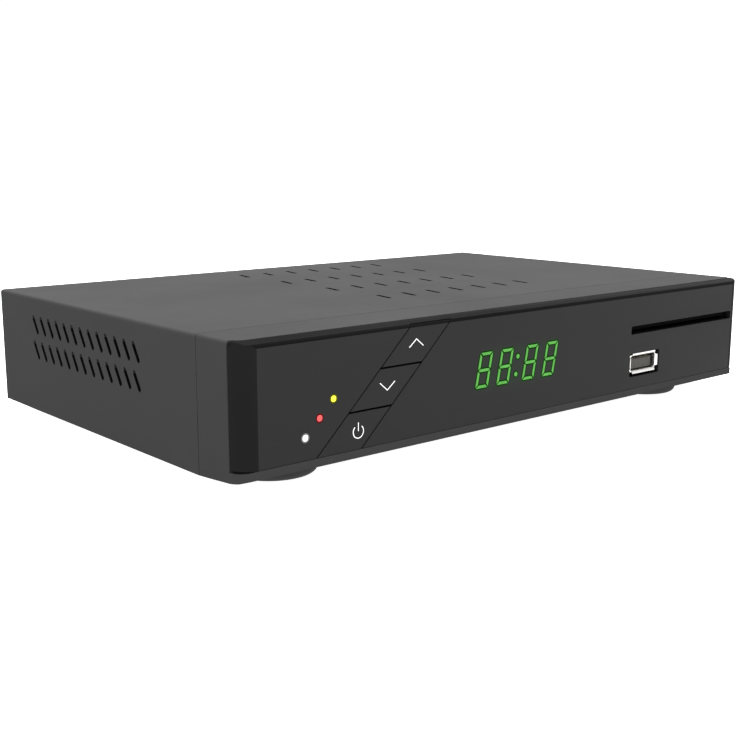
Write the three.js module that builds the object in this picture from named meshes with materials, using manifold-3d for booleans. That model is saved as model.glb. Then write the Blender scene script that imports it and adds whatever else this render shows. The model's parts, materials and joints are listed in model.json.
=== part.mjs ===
// A compact television recorder: a folded steel case with a black fascia in a plastic bezel,
// three slanting push buttons, a clock display, a card slot and a socket row on the back.
// Millimetres. +Z is up, the front faces -Y, and the origin is under the middle of the case,
// on the surface that the feet stand on.
import * as THREE from "three";
import { mergeVertices } from "three/addons/utils/BufferGeometryUtils.js";
import Module from "manifold-3d";

const wasm = await Module();
wasm.setup();

// ---- Driving dimensions ----

const caseWidth = 220;
const caseHeight = 37.25; // cover, without the feet
const coverDepth = 122.5; // seam to the rear edge
const bezelDepth = 16.2; // seam to the front edge of the bezel's top
const bezelSideDepth = 14.1; // seam to the front edge of the bezel's sides
const fasciaDepth = 19.5; // seam to the front face
const plugReach = 9; // the aerial sockets stand out behind the case
const lensReach = 0.1; // the lamps' lenses stand out in front of the fascia
const footHeight = 4.2;
const footRadius = 12.9;
const sheet = 0.8; // steel thickness
const wall = 2; // plastic thickness
const seat = 0.15; // gap between pieces that rest on each other
const play = 0.3; // gap round a piece that moves
const coverGap = 0.2; // between the cover and the bezel
const seamGap = 0.12; // between the bezel and the fascia
const cornerRadius = 5; // fascia corners, seen from above
const coverBend = 0.95;
const buttonTravel = 0.6;
const rockerSwing = 14; // degrees between its two positions
const boardThickness = 1.6;

const screwShank = 1.2;
const screwHole = 1.5;
const pinRound = 12; // sides of a small cylinder

// ---- Places ----

const totalDepth = lensReach + fasciaDepth + coverDepth + plugReach;
const seamY = -totalDepth / 2 + lensReach + fasciaDepth;
const halfWidth = caseWidth / 2;

// Distances from the left side, from the seam between bezel and cover, and from the case's lower edge.
const across = (x) => x - halfWidth;
const ahead = (y) => seamY - y;
const behind = (y) => seamY + y;
const up = (z) => footHeight + z;

const rearY = behind(coverDepth);
const panelBack = rearY - sheet - play; // outer face of the rear panel
const panelFront = panelBack - sheet;
const boardTop = 9.7; // both circuit boards, above the case's lower edge
const socketBase = boardTop + seat;
const frontBoardY = ahead(7.4);
const fasciaBack = ahead(fasciaDepth - wall);
const pocketFloor = ahead(16.6); // the buttons' pocket, front of its back wall
const pocketBack = ahead(15.2);
const socketRow = 17; // height of the rear sockets' centre line

// ---- Finishes ----

const finish = (color, roughness, metalness) => ({ color, roughness, metalness });
const finishes = {
  greyPaint: finish(0x5a5a5a, 0.5, 0.3),
  greyPlastic: finish(0x4c4c4c, 0.5, 0),
  blackSatin: finish(0x2c2c2c, 0.4, 0),
  rubber: finish(0x2a2a2a, 0.8, 0),
  steel: finish(0xb9bcc0, 0.35, 1),
  nickel: finish(0xd5d7da, 0.2, 1),
  aluminium: finish(0xc4c6c8, 0.4, 1),
  darkPlastic: finish(0x17181a, 0.55, 0),
  greenBoard: finish(0x1f5a3a, 0.5, 0),
  cableGrey: finish(0x9a9da0, 0.6, 0),
  sleeveBlue: finish(0x24406e, 0.4, 0),
  copperYellow: finish(0xc9a13b, 0.5, 0),
  redLens: finish(0xff5350, 0.3, 0),
  yellowLens: finish(0xe8ee4a, 0.3, 0),
  whiteLens: finish(0xf4f4f4, 0.3, 0),
  displayFace: finish(0x2f5a30, 0.4, 0),
};

const recorder = new THREE.Group();
recorder.name = "recorder";

// ---- Solids ----

// A closed solid from a geometry, with its faces turned outwards.
function solidOf(geometry) {
  const bare = new THREE.BufferGeometry();
  const loose = geometry.index ? geometry.toNonIndexed() : geometry;
  bare.setAttribute("position", loose.getAttribute("position"));
  const welded = mergeVertices(bare, 1e-4);
  const corners = welded.index.array;
  const triangles = [];
  for (let i = 0; i < corners.length; i += 3) {
    const [a, b, c] = corners.slice(i, i + 3);
    if (a !== b && b !== c && c !== a) triangles.push(a, b, c);
  }
  const vertProperties = new Float32Array(welded.getAttribute("position").array);
  const make = (list) =>
    new wasm.Manifold(new wasm.Mesh({ numProp: 3, vertProperties, triVerts: new Uint32Array(list) }));
  const made = make(triangles);
  return made.volume() > 0 ? made : make(triangles.reverse());
}

function box([x0, x1], [y0, y1], [z0, z1]) {
  const block = new THREE.BoxGeometry(x1 - x0, y1 - y0, z1 - z0);
  block.translate((x0 + x1) / 2, (y0 + y1) / 2, (z0 + z1) / 2);
  return solidOf(block);
}

// Turns a solid made along Z so that it runs along another axis; u and v are the outline's axes.
const turns = {
  x: new THREE.Matrix4().set(0, 0, 1, 0, 1, 0, 0, 0, 0, 1, 0, 0, 0, 0, 0, 1), // u = y, v = z
  y: new THREE.Matrix4().set(-1, 0, 0, 0, 0, 0, 1, 0, 0, 1, 0, 0, 0, 0, 0, 1), // u = -x, v = z
  z: new THREE.Matrix4(), // u = x, v = y
};

// An outline carried along an axis between two planes. On the y axis, u is x.
function prism(axis, outline, from, to) {
  const points = outline.map(([u, v]) => new THREE.Vector2(axis === "y" ? -u : u, v));
  if (THREE.ShapeUtils.isClockWise(points)) points.reverse();
  const depth = to - from;
  const block = new THREE.ExtrudeGeometry(new THREE.Shape(points), { depth, bevelEnabled: false });
  block.translate(0, 0, from);
  block.applyMatrix4(turns[axis]);
  return solidOf(block);
}

// A profile of [radius, height] points turned about an axis through the centre [u, v].
function turned(axis, [u, v], profile, sides = pinRound) {
  const points = profile.map(([r, h]) => new THREE.Vector2(r, h));
  const block = new THREE.LatheGeometry(points, sides);
  block.rotateX(Math.PI / 2);
  block.translate(axis === "y" ? -u : u, v, 0);
  block.applyMatrix4(turns[axis]);
  return solidOf(block);
}

function rod(axis, centre, radius, from, to, sides = pinRound) {
  return turned(axis, centre, [[0, from], [radius, from], [radius, to], [0, to]], sides);
}

const join = (...solids) => solids.reduce((whole, each) => whole.add(each));
const cut = (solid, ...tools) => tools.reduce((rest, tool) => rest.subtract(tool), solid);

// ---- Outlines ----

function arc([u, v], radius, fromDegrees, toDegrees, steps = 4) {
  const points = [];
  for (let i = 0; i <= steps; i += 1) {
    const angle = THREE.MathUtils.degToRad(fromDegrees + ((toDegrees - fromDegrees) * i) / steps);
    points.push([u + radius * Math.cos(angle), v + radius * Math.sin(angle)]);
  }
  return points;
}

const rectangle = ([u0, u1], [v0, v1]) => [[u0, v0], [u1, v0], [u1, v1], [u0, v1]];

function roundedRectangle([u0, u1], [v0, v1], radius, steps = 3) {
  return [
    ...arc([u1 - radius, v0 + radius], radius, -90, 0, steps),
    ...arc([u1 - radius, v1 - radius], radius, 0, 90, steps),
    ...arc([u0 + radius, v1 - radius], radius, 90, 180, steps),
    ...arc([u0 + radius, v0 + radius], radius, 180, 270, steps),
  ];
}

// A slot with round ends, leaning by some degrees from v towards +u.
function slotOutline([u, v], length, width, lean) {
  const reach = (length - width) / 2;
  const upright = [...arc([0, reach], width / 2, 0, 180, 3), ...arc([0, -reach], width / 2, 180, 360, 3)];
  const angle = THREE.MathUtils.degToRad(lean);
  const [cos, sin] = [Math.cos(angle), Math.sin(angle)];
  return upright.map(([a, b]) => [u + a * cos + b * sin, v - a * sin + b * cos]);
}

// The case's section: flat below, with round corners at the top of both sides.
function archOutline(half, bottom, top, radius) {
  return [
    [-half, bottom],
    [half, bottom],
    ...arc([half - radius, top - radius], radius, 0, 90),
    ...arc([-half + radius, top - radius], radius, 90, 180),
  ];
}

// A flat strip of even thickness along a smooth route.
function stripOutline(route, thickness) {
  const curve = new THREE.SplineCurve(route.map(([u, v]) => new THREE.Vector2(u, v)));
  const steps = 14;
  const sides = [[], []];
  for (let i = 0; i <= steps; i += 1) {
    const point = curve.getPoint(i / steps);
    const along = curve.getTangent(i / steps);
    sides[0].push([point.x - (along.y * thickness) / 2, point.y + (along.x * thickness) / 2]);
    sides[1].unshift([point.x + (along.y * thickness) / 2, point.y - (along.x * thickness) / 2]);
  }
  return [...sides[0], ...sides[1]];
}

// ---- Nodes ----

function addPiece(name, solid, look) {
  const { vertProperties, triVerts } = solid.getMesh();
  const geometry = new THREE.BufferGeometry();
  geometry.setAttribute("position", new THREE.BufferAttribute(vertProperties, 3));
  geometry.setIndex(new THREE.BufferAttribute(triVerts, 1));
  geometry.computeVertexNormals();
  const mesh = new THREE.Mesh(geometry, new THREE.MeshStandardMaterial(look));
  mesh.name = name;
  recorder.add(mesh);
}

// A pan-head screw. Its head rests at `face`, and its shank runs `length` the other way from `side`.
function screw(axis, centre, face, side, length, headRadius = 2.6, headHeight = 1.5) {
  const at = (h) => face + side * h;
  const profile = [
    [0, at(-length)],
    [screwShank * 0.6, at(-length)],
    [screwShank, at(-length + 0.8)],
    [screwShank, at(0)],
    [headRadius, at(0)],
    [headRadius, at(headHeight * 0.5)],
    [headRadius * 0.7, at(headHeight)],
    [0, at(headHeight)],
  ];
  const [u, v] = centre;
  const slotEnds = [at(headHeight * 0.45), at(headHeight + 1)].sort((a, b) => a - b);
  const arm = headRadius * 0.55;
  const slot = 0.3;
  return cut(
    turned(axis, centre, profile, 10),
    prism(axis, rectangle([u - arm, u + arm], [v - slot, v + slot]), ...slotEnds),
    prism(axis, rectangle([u - slot, u + slot], [v - arm, v + arm]), ...slotEnds),
  );
}

// ---- Case ----

const topVents = {
  columns: 7,
  rows: 4,
  first: [85, 24.6],
  pitch: [10.7, 26.1],
  length: 8.8,
  width: 1.45,
  lean: 11.3,
};
const sideVents = {
  count: 13,
  rows: [20.1, 28.25],
  first: 31.2,
  pitch: 5.41,
  length: 6.8,
  width: 1.55,
  lean: 31.5,
};
const footPlaces = {
  front_left: [26, 4.3],
  front_right: [194, 4.3],
  rear_left: [26, 104],
  rear_right: [194, 104],
};
const coverScrewPlaces = { left: 16, middle: 110, right: 204 };
const coverScrewHeight = caseHeight - 4.4;
const lipWidth = 6.5; // the cover's lip over the rear panel, on the sides
const lipDrop = 8; // and below the top

function topCover() {
  const top = up(caseHeight);
  const outer = prism("y", archOutline(halfWidth, up(0), top, coverBend), seamY + coverGap / 2, rearY);
  const hollow = archOutline(halfWidth - sheet, up(-1), top - sheet, coverBend - sheet);
  const inner = prism("y", hollow, seamY - 1, rearY - sheet);
  const opening = [across(lipWidth), across(caseWidth - lipWidth)];
  const window = box(opening, [rearY - 2, rearY + 1], [up(-1), top - lipDrop]);
  const tools = [inner, window];
  for (let row = 0; row < topVents.rows; row += 1) {
    for (let column = 0; column < topVents.columns; column += 1) {
      const x = across(topVents.first[0] + column * topVents.pitch[0]);
      const y = behind(topVents.first[1] + row * topVents.pitch[1]);
      const outline = slotOutline([x, y], topVents.length, topVents.width, topVents.lean);
      tools.push(prism("z", outline, top - 2 * sheet, top + 1));
    }
  }
  for (const height of sideVents.rows) {
    for (let i = 0; i < sideVents.count; i += 1) {
      const y = behind(sideVents.first + i * sideVents.pitch);
      const outline = slotOutline([y, up(height)], sideVents.length, sideVents.width, sideVents.lean);
      tools.push(prism("x", outline, -halfWidth - 1, -halfWidth + 2 * sheet));
      tools.push(prism("x", outline, halfWidth - 2 * sheet, halfWidth + 1));
    }
  }
  for (const x of Object.values(coverScrewPlaces)) {
    tools.push(rod("y", [across(x), up(coverScrewHeight)], screwHole + 0.2, rearY - 2, rearY + 1, 12));
  }
  return cut(outer, ...tools);
}

const mainPosts = [[70, 12], [70, 112], [211, 50], [211, 112]];
const powerPosts = [[11, 27], [55, 27], [11, 93], [55, 93]];
const postRadius = 3;
const trayHalf = halfWidth - sheet - play;
const trayLipHeight = 9;

function baseChassis() {
  const floor = [up(0), up(sheet)];
  const front = behind(play);
  const back = panelFront - seat;
  const pieces = [box([-trayHalf, trayHalf], [front, back], floor)];
  for (const side of [-1, 1]) {
    const edges = [side * trayHalf, side * (trayHalf - sheet)].sort((a, b) => a - b);
    pieces.push(box(edges, [behind(5), back], [up(0), up(trayLipHeight)]));
  }
  pieces.push(box([-trayHalf, trayHalf], [back - sheet, back], [up(0), up(6)]));
  pieces.push(box([across(4), across(216)], [front, front + sheet], [up(0), up(6)]));
  const holes = [];
  for (const [x, y] of [...mainPosts, ...powerPosts]) {
    const centre = [across(x), behind(y)];
    pieces.push(rod("z", centre, postRadius, up(sheet / 2), up(boardTop - boardThickness - seat), 12));
    holes.push(rod("z", centre, screwHole, up(-1), up(boardTop), 8));
  }
  for (const [x, y] of Object.values(footPlaces)) {
    holes.push(rod("z", [across(x), behind(y)], screwHole, up(-1), up(2), 8));
  }
  for (let row = 0; row < 2; row += 1) {
    for (let i = 0; i < 8; i += 1) {
      const outline = slotOutline([across(84 + i * 8), behind(40 + row * 30)], 20, 2.4, 0);
      holes.push(prism("z", outline, up(-1), up(2)));
    }
  }
  return cut(join(...pieces), ...holes);
}

// Cut-outs in the rear panel: [left, right], [low, high] from the left side and the lower edge.
const cutouts = {
  mainsInlet: [[13.7, 34.3], [10.2, 23.8]],
  rocker: [[41.4, 54.6], [7.4, 26.6]],
  network: [[77.7, 94.3], [9.5, 23.7]],
  video: [[99.7, 115.3], [9.5, 16.2]],
};
const jackPlaces = [124, 134, 144];
const aerialPlaces = { aerial_socket: 158.5, aerial_loop_socket: 173 };

function rearPanel() {
  const outline = archOutline(trayHalf, up(0.3), up(caseHeight) - sheet - play, 0.6);
  const holes = Object.values(cutouts).map(([xs, zs]) =>
    prism("y", roundedRectangle(xs.map(across), zs.map(up), 0.5, 2), panelFront - 1, panelBack + 1),
  );
  const round = (x, z, radius) => rod("y", [across(x), up(z)], radius, panelFront - 1, panelBack + 1, 16);
  jackPlaces.forEach((x) => holes.push(round(x, socketRow, 4.6)));
  Object.values(aerialPlaces).forEach((x) => holes.push(round(x, socketRow, 5.2)));
  Object.values(coverScrewPlaces).forEach((x) => holes.push(round(x, coverScrewHeight, screwHole)));
  for (let i = 0; i < 9; i += 1) {
    const slot = slotOutline([across(186 + i * 3), up(socketRow)], 14, 1.4, 0);
    holes.push(prism("y", slot, panelFront - 1, panelBack + 1));
  }
  return cut(prism("y", outline, panelFront, panelBack), ...holes);
}

function foot([x, y]) {
  const top = footHeight - seat;
  const profile = [
    [4.4, 0],
    ...arc([footRadius - 1.9, 1.9], 1.9, -90, 0, 4),
    [footRadius, top - 0.4],
    [footRadius - 0.4, top],
    [screwHole + 0.3, top],
    [screwHole + 0.3, 2],
    [4.4, 2],
    [4.4, 0],
  ];
  return turned("z", [across(x), behind(y)], profile, 24);
}

// ---- Bezel and fascia ----

// Front edge of the bezel's top and sides, seen from above; the fascia closes on it.
const framePlan = (shift) => [
  [-halfWidth - 1, ahead(bezelSideDepth + shift)],
  [-halfWidth + 0.8, ahead(bezelSideDepth + shift)],
  [-halfWidth + 3, ahead(bezelDepth + shift)],
  [halfWidth - 3, ahead(bezelDepth + shift)],
  [halfWidth - 0.8, ahead(bezelSideDepth + shift)],
  [halfWidth + 1, ahead(bezelSideDepth + shift)],
];

// A plan with round front corners, closed far behind the front.
const roundFront = (half, front) => [
  ...arc([-half + cornerRadius, front + cornerRadius], cornerRadius, 180, 270, 8),
  ...arc([half - cornerRadius, front + cornerRadius], cornerRadius, 270, 360, 8),
  [half, seamY + 20],
  [-half, seamY + 20],
];

const chinTop = 4.4;
const fasciaInset = 0.25; // the fascia's ends stand back from the case's sides
const chinProfile = [[0, 0], [8, 0.55], [14.4, 1.05], [17.2, 1.4], [18.9, 1.9], [19.4, 2.5], [19.5, 3.1]];
const chinRelief = { width: 4.6, depth: 0.7 }; // the chin's ledge falls away under the fascia's corners
const clipPlaces = [30, 110, 190];
const clipHeights = [5.6, 34.1];
const ledge = [ahead(14.4), ahead(12.9)]; // the bezel's inner frame, which the fascia's clips grip
const boardRests = [[13, 6.4], [144, 6.4], [13, 32.6], [144, 32.6]];

function frontBezel() {
  const [back, front] = [seamY - coverGap / 2, ahead(fasciaDepth)];
  const inside = halfWidth - wall;
  const roof = up(caseHeight - wall);
  const outline = archOutline(halfWidth, up(-1), up(caseHeight), coverBend);
  const side = [
    ...chinProfile.map(([y, z]) => [ahead(y), up(z)]),
    [front, up(caseHeight + 1)],
    [ahead(0), up(caseHeight + 1)],
  ];
  const hollow = [
    [ahead(-1), up(wall)],
    [ahead(12), up(3.3)],
    [ahead(15), up(chinTop)],
    [ahead(21), up(chinTop)],
    [ahead(21), roof],
    [ahead(-1), roof],
  ];
  const aheadOfFrame = [...framePlan(0), [halfWidth + 1, front - 1], [-halfWidth - 1, front - 1]];
  const outer = prism("y", outline, front, back)
    .intersect(prism("z", roundFront(halfWidth, front), up(-2), up(caseHeight + 2)))
    .intersect(prism("x", side, -halfWidth - 1, halfWidth + 1));
  const reliefs = [-1, 1].map((side) => {
    const ramp = [
      [side * halfWidth, up(chinTop - chinRelief.depth)],
      [side * (halfWidth - chinRelief.width), up(chinTop)],
      [side * halfWidth, up(chinTop)],
    ];
    return prism("y", ramp, front, ahead(bezelSideDepth));
  });
  const shell = cut(
    outer,
    prism("z", aheadOfFrame, up(chinTop), up(caseHeight + 2)),
    prism("x", hollow, -inside, inside),
    ...reliefs,
  );

  const ledgeWindow = box([across(10), across(216.6)], [ledge[0] - 1, ledge[1] + 1], [up(7), up(32.6)]);
  const slots = clipPlaces.flatMap((x) =>
    clipHeights.map((z) =>
      box([across(x - 2.2), across(x + 2.2)], [ledge[0] - 1, ledge[1] + 1], [up(z - 0.85), up(z + 0.85)]),
    ),
  );
  const stemHoles = Object.values(buttonSpans).map((span) =>
    rod("y", stemPlace(span), stemRadius + 1.1, ledge[0] - 1, ledge[1] + 1),
  );
  const frame = box([-inside - 1, inside + 1], ledge, [up(3.6), roof + 1]);
  const innerFrame = cut(frame, ledgeWindow, ...slots, ...stemHoles);
  const rests = boardRests.map(([x, z]) =>
    box([across(x - 2), across(x + 2)], [ledge[0] + 0.2, frontBoardY - seat], [up(z - 2.6), up(z + 2.6)]),
  );

  const tuck = halfWidth - sheet - play;
  const tuckTop = up(caseHeight) - sheet - play;
  const rim = cut(
    prism("y", archOutline(tuck, up(1), tuckTop, 0.6), seamY - 3, behind(4)),
    prism("y", archOutline(tuck - 1.4, up(-1), tuckTop - 1.4, 0.4), seamY - 4, behind(5)),
  );
  return join(shell, innerFrame, rim, ...rests);
}

// The slanting strip of buttons: its left edge at a height, and its width across.
const strip = { foot: [23.6, 4.7], lean: 1.0456, width: 15.1, sideGap: 0.2, top: 36.35 };
const stripLeft = (z) => strip.foot[0] + strip.lean * (z - strip.foot[1]);
const stripOutlineBetween = (low, high, inset) => [
  [across(stripLeft(low) + inset), up(low)],
  [across(stripLeft(low) + strip.width - inset), up(low)],
  [across(stripLeft(high) + strip.width - inset), up(high)],
  [across(stripLeft(high) + inset), up(high)],
];
const buttonSpans = { power: [chinTop + seamGap, 14.55], down: [15.05, 25.15], up: [25.65, 36.2] };
const stemRadius = 2.2;
const lampPlaces = { yellow: [29.1, 19.5], red: [24.5, 15], white: [19.8, 10.5] };
const lampRadius = 1.05;
const cardSlot = [[155.4, 214.3], [22.95, 25.7]];
const usbWindow = [[155.2, 171.35], [8.55, 16.5]];

const stemPlace = ([low, high]) => {
  const middle = (low + high) / 2;
  return [across(stripLeft(middle) + strip.width / 2), up(middle)];
};

// The black front's outer form: round corners, and a top edge that falls away in two slopes.
function fasciaForm() {
  const front = ahead(fasciaDepth);
  const half = halfWidth - fasciaInset;
  const top = caseHeight - 0.05;
  const side = [
    [front, up(chinTop + seamGap)],
    [front, up(35.35)],
    [ahead(fasciaDepth - 0.12), up(35.85)],
    [ahead(fasciaDepth - 0.5), up(36.35)],
    [ahead(fasciaDepth - 1.1), up(36.5)],
    [ahead(bezelDepth), up(top)],
    [ahead(0), up(top)],
    [ahead(0), up(chinTop + seamGap)],
  ];
  const behindFrame = [...framePlan(seat), [halfWidth + 1, seamY], [-halfWidth - 1, seamY]];
  const form = prism("y", archOutline(half, up(chinTop), up(top), 1.5), front, ahead(bezelSideDepth))
    .intersect(prism("z", roundFront(half, front), up(0), up(caseHeight + 1)))
    .intersect(prism("x", side, -halfWidth, halfWidth));
  return cut(form, prism("z", behindFrame, up(0), up(caseHeight + 1)));
}

function frontFascia() {
  const form = fasciaForm();
  const inside = halfWidth - fasciaInset - wall;
  const hollow = box([-inside, inside], [fasciaBack, seamY], [up(chinTop + 1.8), up(caseHeight - 1.9)]);
  const pocket = prism("y", stripOutlineBetween(4.9, 34.9, -1.6), fasciaBack - 0.5, pocketBack);
  const clips = clipPlaces.flatMap((x) =>
    clipHeights.map((z) => {
      const side = z > caseHeight / 2 ? 1 : -1; // the side that the barb is on
      const [root, tip, step] = [fasciaBack - 0.5, ahead(11.6), ahead(12.6)];
      const profile = [
        [root, up(z) - side * 0.45],
        [tip, up(z) - side * 0.45],
        [tip, up(z) + side * 0.2],
        [step, up(z) + side * 0.9],
        [step, up(z) + side * 0.45],
        [root, up(z) + side * 0.45],
      ];
      return prism("x", profile, across(x - 1.8), across(x + 1.8));
    }),
  );
  const front = ahead(fasciaDepth + 1);
  const holes = [
    prism("y", stripOutlineBetween(3, strip.top, -strip.sideGap), front, pocketFloor),
    prism("y", roundedRectangle(cardSlot[0].map(across), cardSlot[1].map(up), 0.4, 2), front, seamY),
    prism("y", roundedRectangle(usbWindow[0].map(across), usbWindow[1].map(up), 0.5, 2), front, seamY),
  ];
  Object.values(lampPlaces).forEach(([x, z]) =>
    holes.push(rod("y", [across(x), up(z)], lampRadius + 0.1, front, seamY, 20)),
  );
  Object.values(buttonSpans).forEach((span) =>
    holes.push(rod("y", stemPlace(span), stemRadius + 0.35, front, pocketBack + 1, 20)),
  );
  return cut(join(cut(form, hollow), pocket, ...clips), ...holes);
}

// ---- Buttons, switches and lamps ----

const stemTip = ahead(12.9);
const barb = [ahead(14.9), ahead(13.9)];
const switchFront = ahead(11.2);
const switchBore = [1.95, 1.6]; // radius, depth
const plungerRadius = 1.7;

function button(span) {
  const plate = fasciaForm().intersect(
    prism("y", stripOutlineBetween(...span, strip.sideGap), ahead(fasciaDepth + 1), fasciaBack),
  );
  const stem = turned("y", stemPlace(span), [
    [0, fasciaBack - 0.5],
    [stemRadius, fasciaBack - 0.5],
    [stemRadius, barb[0]],
    [stemRadius + 0.7, barb[0]],
    [stemRadius, barb[1]],
    [stemRadius - 0.2, stemTip],
    [0, stemTip],
  ]);
  return join(plate, stem);
}

function switchBody(span) {
  const [x, z] = stemPlace(span);
  const body = box([x - 3, x + 3], [switchFront, frontBoardY - seat], [z - 3, z + 3]);
  return cut(body, rod("y", [x, z], switchBore[0], switchFront - 1, switchFront + switchBore[1]));
}

function plunger(span) {
  const front = stemTip + seat;
  const back = switchFront + switchBore[1] - buttonTravel - 0.2;
  return rod("y", stemPlace(span), plungerRadius, front, back, 12);
}

function lightPipe([x, z]) {
  const face = ahead(fasciaDepth);
  return turned("y", [across(x), up(z)], [
    [0, face - lensReach],
    [lampRadius * 0.5, face - lensReach * 0.75],
    [lampRadius * 0.85, face - lensReach * 0.25],
    [lampRadius, face],
    [lampRadius, fasciaBack + seat],
    [1.9, fasciaBack + seat],
    [1.9, fasciaBack + 1.4],
    [lampRadius, fasciaBack + 1.4],
    [lampRadius, frontBoardY - 1.2],
    [0, frontBoardY - 1.2],
  ]);
}

function displayModule() {
  const housing = box([across(78), across(122)], [fasciaBack + seat, ahead(9.4)], [up(12.2), up(27.8)]);
  const pins = [];
  for (let i = 0; i < 6; i += 1) {
    for (const z of [14, 26]) {
      const x = across(87.3 + i * 5.08);
      pins.push(box([x - 0.3, x + 0.3], [ahead(9.6), frontBoardY - seat], [up(z) - 0.3, up(z) + 0.3]));
    }
  }
  return join(housing, ...pins);
}

function infraredReceiver() {
  const [x, z] = [across(134), up(20)];
  const body = box([x - 2.8, x + 2.8], [ahead(11.4), frontBoardY - seat], [z - 3.5, z + 3.5]);
  const lens = turned("y", [x, z], [
    [0, ahead(13.4)],
    [1.6, ahead(12.9)],
    [2.3, ahead(11.2)],
    [0, ahead(11.2)],
  ]);
  return join(body, lens);
}

// ---- Front socket and card reader ----

const usb = { centre: [163.4, 12.88], width: 14.1, height: 6.05, skin: 0.45, mouth: 19.25, length: 18 };
const usbLip = { depth: 0.6, side: 0.55, upright: 0.4, corner: 0.7 };

function usbShell() {
  const [x, z] = [across(usb.centre[0]), up(usb.centre[1])];
  const [w, h] = [usb.width / 2, usb.height / 2];
  const [front, back] = [ahead(usb.mouth), ahead(usb.mouth - usb.length)];
  const skinOutline = (inset, radius) =>
    roundedRectangle([x - w + inset, x + w - inset], [z - h + inset, z + h - inset], radius, 2);
  const tube = cut(
    prism("y", skinOutline(0, 0.7), front + usbLip.depth, back),
    prism("y", skinOutline(usb.skin, 0.4), front - 1, back + 1),
  );
  // Each side of the mouth ends in a lip that leans outwards.
  const lips = [];
  for (const side of [-1, 1]) {
    const lean = (start, reach) => [
      [front + usbLip.depth + 0.2, start - side * usb.skin],
      [front + usbLip.depth + 0.2, start],
      [front, start + side * reach],
      [front, start + side * (reach - usb.skin)],
      [front + usbLip.depth - 0.2, start - side * usb.skin],
    ];
    const upright = lean(z + side * h, usbLip.upright);
    lips.push(prism("x", upright, x - w + usbLip.corner, x + w - usbLip.corner));
    const plan = lean(x + side * w, usbLip.side).map(([y, reach]) => [reach, y]);
    lips.push(prism("z", plan, z - h + usbLip.corner, z + h - usbLip.corner));
  }
  return join(tube, ...lips);
}

function usbTongue() {
  const [x, z] = [across(usb.centre[0]), up(usb.centre[1])];
  const back = ahead(usb.mouth - usb.length);
  const tongue = box([x - 5.5, x + 5.5], [ahead(usb.mouth - 1.5), back - 4], [z - 2.2, z + 1.4]);
  const block = box([x - 5.9, x + 5.9], [back - 6, back - 0.4], [z - 2.2, z + 2.2]);
  return join(tongue, block);
}

const reader = { sides: [154, 215.8], base: 21.3, top: 27.3, front: 17.1, back: 36 };

function cardReader() {
  const depth = [ahead(reader.front), behind(reader.back)];
  const body = box(reader.sides.map(across), depth, [reader.base, reader.top].map(up));
  const slot = box([157, 212.7].map(across), [ahead(reader.front + 1), behind(30)], [22.95, 23.95].map(up));
  const contacts = box([170, 186].map(across), [behind(4), behind(20)], [26, reader.top + 1].map(up));
  return cut(body, slot, contacts);
}

function cardReaderBracket() {
  const top = reader.base - seat;
  const plate = box([across(153), across(215)], [behind(2), behind(34)], [up(top - sheet), up(top)]);
  const legs = [[153, 153.8], [214.2, 215]].map((xs) =>
    box(xs.map(across), [behind(8), behind(22)], [up(socketBase), up(top - sheet / 2)]),
  );
  return join(plate, ...legs);
}

// ---- Boards and what is on them ----

const boardSpan = [boardTop - boardThickness, boardTop].map(up);
const bracketLegs = [[20, 32], [78, 90]];

const boardHole = (x, y, radius) => rod("z", [across(x), behind(y)], radius, up(5), up(12));

function frontBoard() {
  return box([across(10), across(148)], [frontBoardY, frontBoardY + boardThickness], [up(5.6), up(33.6)]);
}

function mainBoard() {
  const outline = [[66, 6], [150, 6], [150, -10], [216, -10], [216, 117], [66, 117]];
  const board = prism("z", outline.map(([x, y]) => [across(x), behind(y)]), ...boardSpan);
  const holes = mainPosts.map(([x, y]) => boardHole(x, y, screwHole + 0.1));
  const passages = bracketLegs.map(([y0, y1]) =>
    box([across(147.6), across(149.6)], [behind(y0 - 0.6), behind(y1 + 0.6)], [up(5), up(12)]),
  );
  return cut(board, ...holes, ...passages);
}

function powerBoard() {
  const board = box([across(6), across(60)], [behind(22), behind(98)], boardSpan);
  return cut(board, ...powerPosts.map(([x, y]) => boardHole(x, y, screwHole)));
}

const processorPlace = [177, 66];

function processor() {
  const [x, y] = [across(processorPlace[0]), behind(processorPlace[1])];
  return box([x - 8.5, x + 8.5], [y - 8.5, y + 8.5], [up(socketBase), up(11.4)]);
}

function heatsink() {
  const [x, y] = [across(processorPlace[0]), behind(processorPlace[1])];
  const parts = [box([x - 14, x + 14], [y - 14, y + 14], [up(11.55), up(13.5)])];
  for (let i = -3; i <= 3; i += 1) {
    parts.push(box([x + i * 4.4 - 0.6, x + i * 4.4 + 0.6], [y - 14, y + 14], [up(13), up(22)]));
  }
  return join(...parts);
}

function transformer() {
  const core = box([across(24), across(48)], [behind(42), behind(62)], [up(14), up(24)]);
  const bobbin = roundedRectangle([27, 45].map(across), [38, 66].map(behind), 5);
  const winding = prism("z", bobbin, up(11.5), up(26.5));
  const base = box([across(25), across(47)], [behind(40), behind(64)], [up(socketBase), up(12)]);
  return join(core, winding, base);
}

function capacitor([x, y], radius, top) {
  return turned("z", [across(x), behind(y)], [
    [0, up(socketBase)],
    [radius, up(socketBase)],
    [radius, up(socketBase + 1.5)],
    [radius - 0.4, up(socketBase + 2.2)],
    [radius, up(socketBase + 2.9)],
    [radius, up(top - 0.5)],
    [radius - 0.5, up(top)],
    [0, up(top)],
  ]);
}

const tuner = { sides: [151, 181], front: 92, back: 119.3, top: 24 };

function tunerCan() {
  const depth = [tuner.front, tuner.back].map(behind);
  const can = box(tuner.sides.map(across), depth, [socketBase, tuner.top].map(up));
  const lid = box([152, 180].map(across), [93, 118].map(behind), [tuner.top - 0.5, tuner.top + 0.6].map(up));
  return join(can, lid);
}

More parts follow.
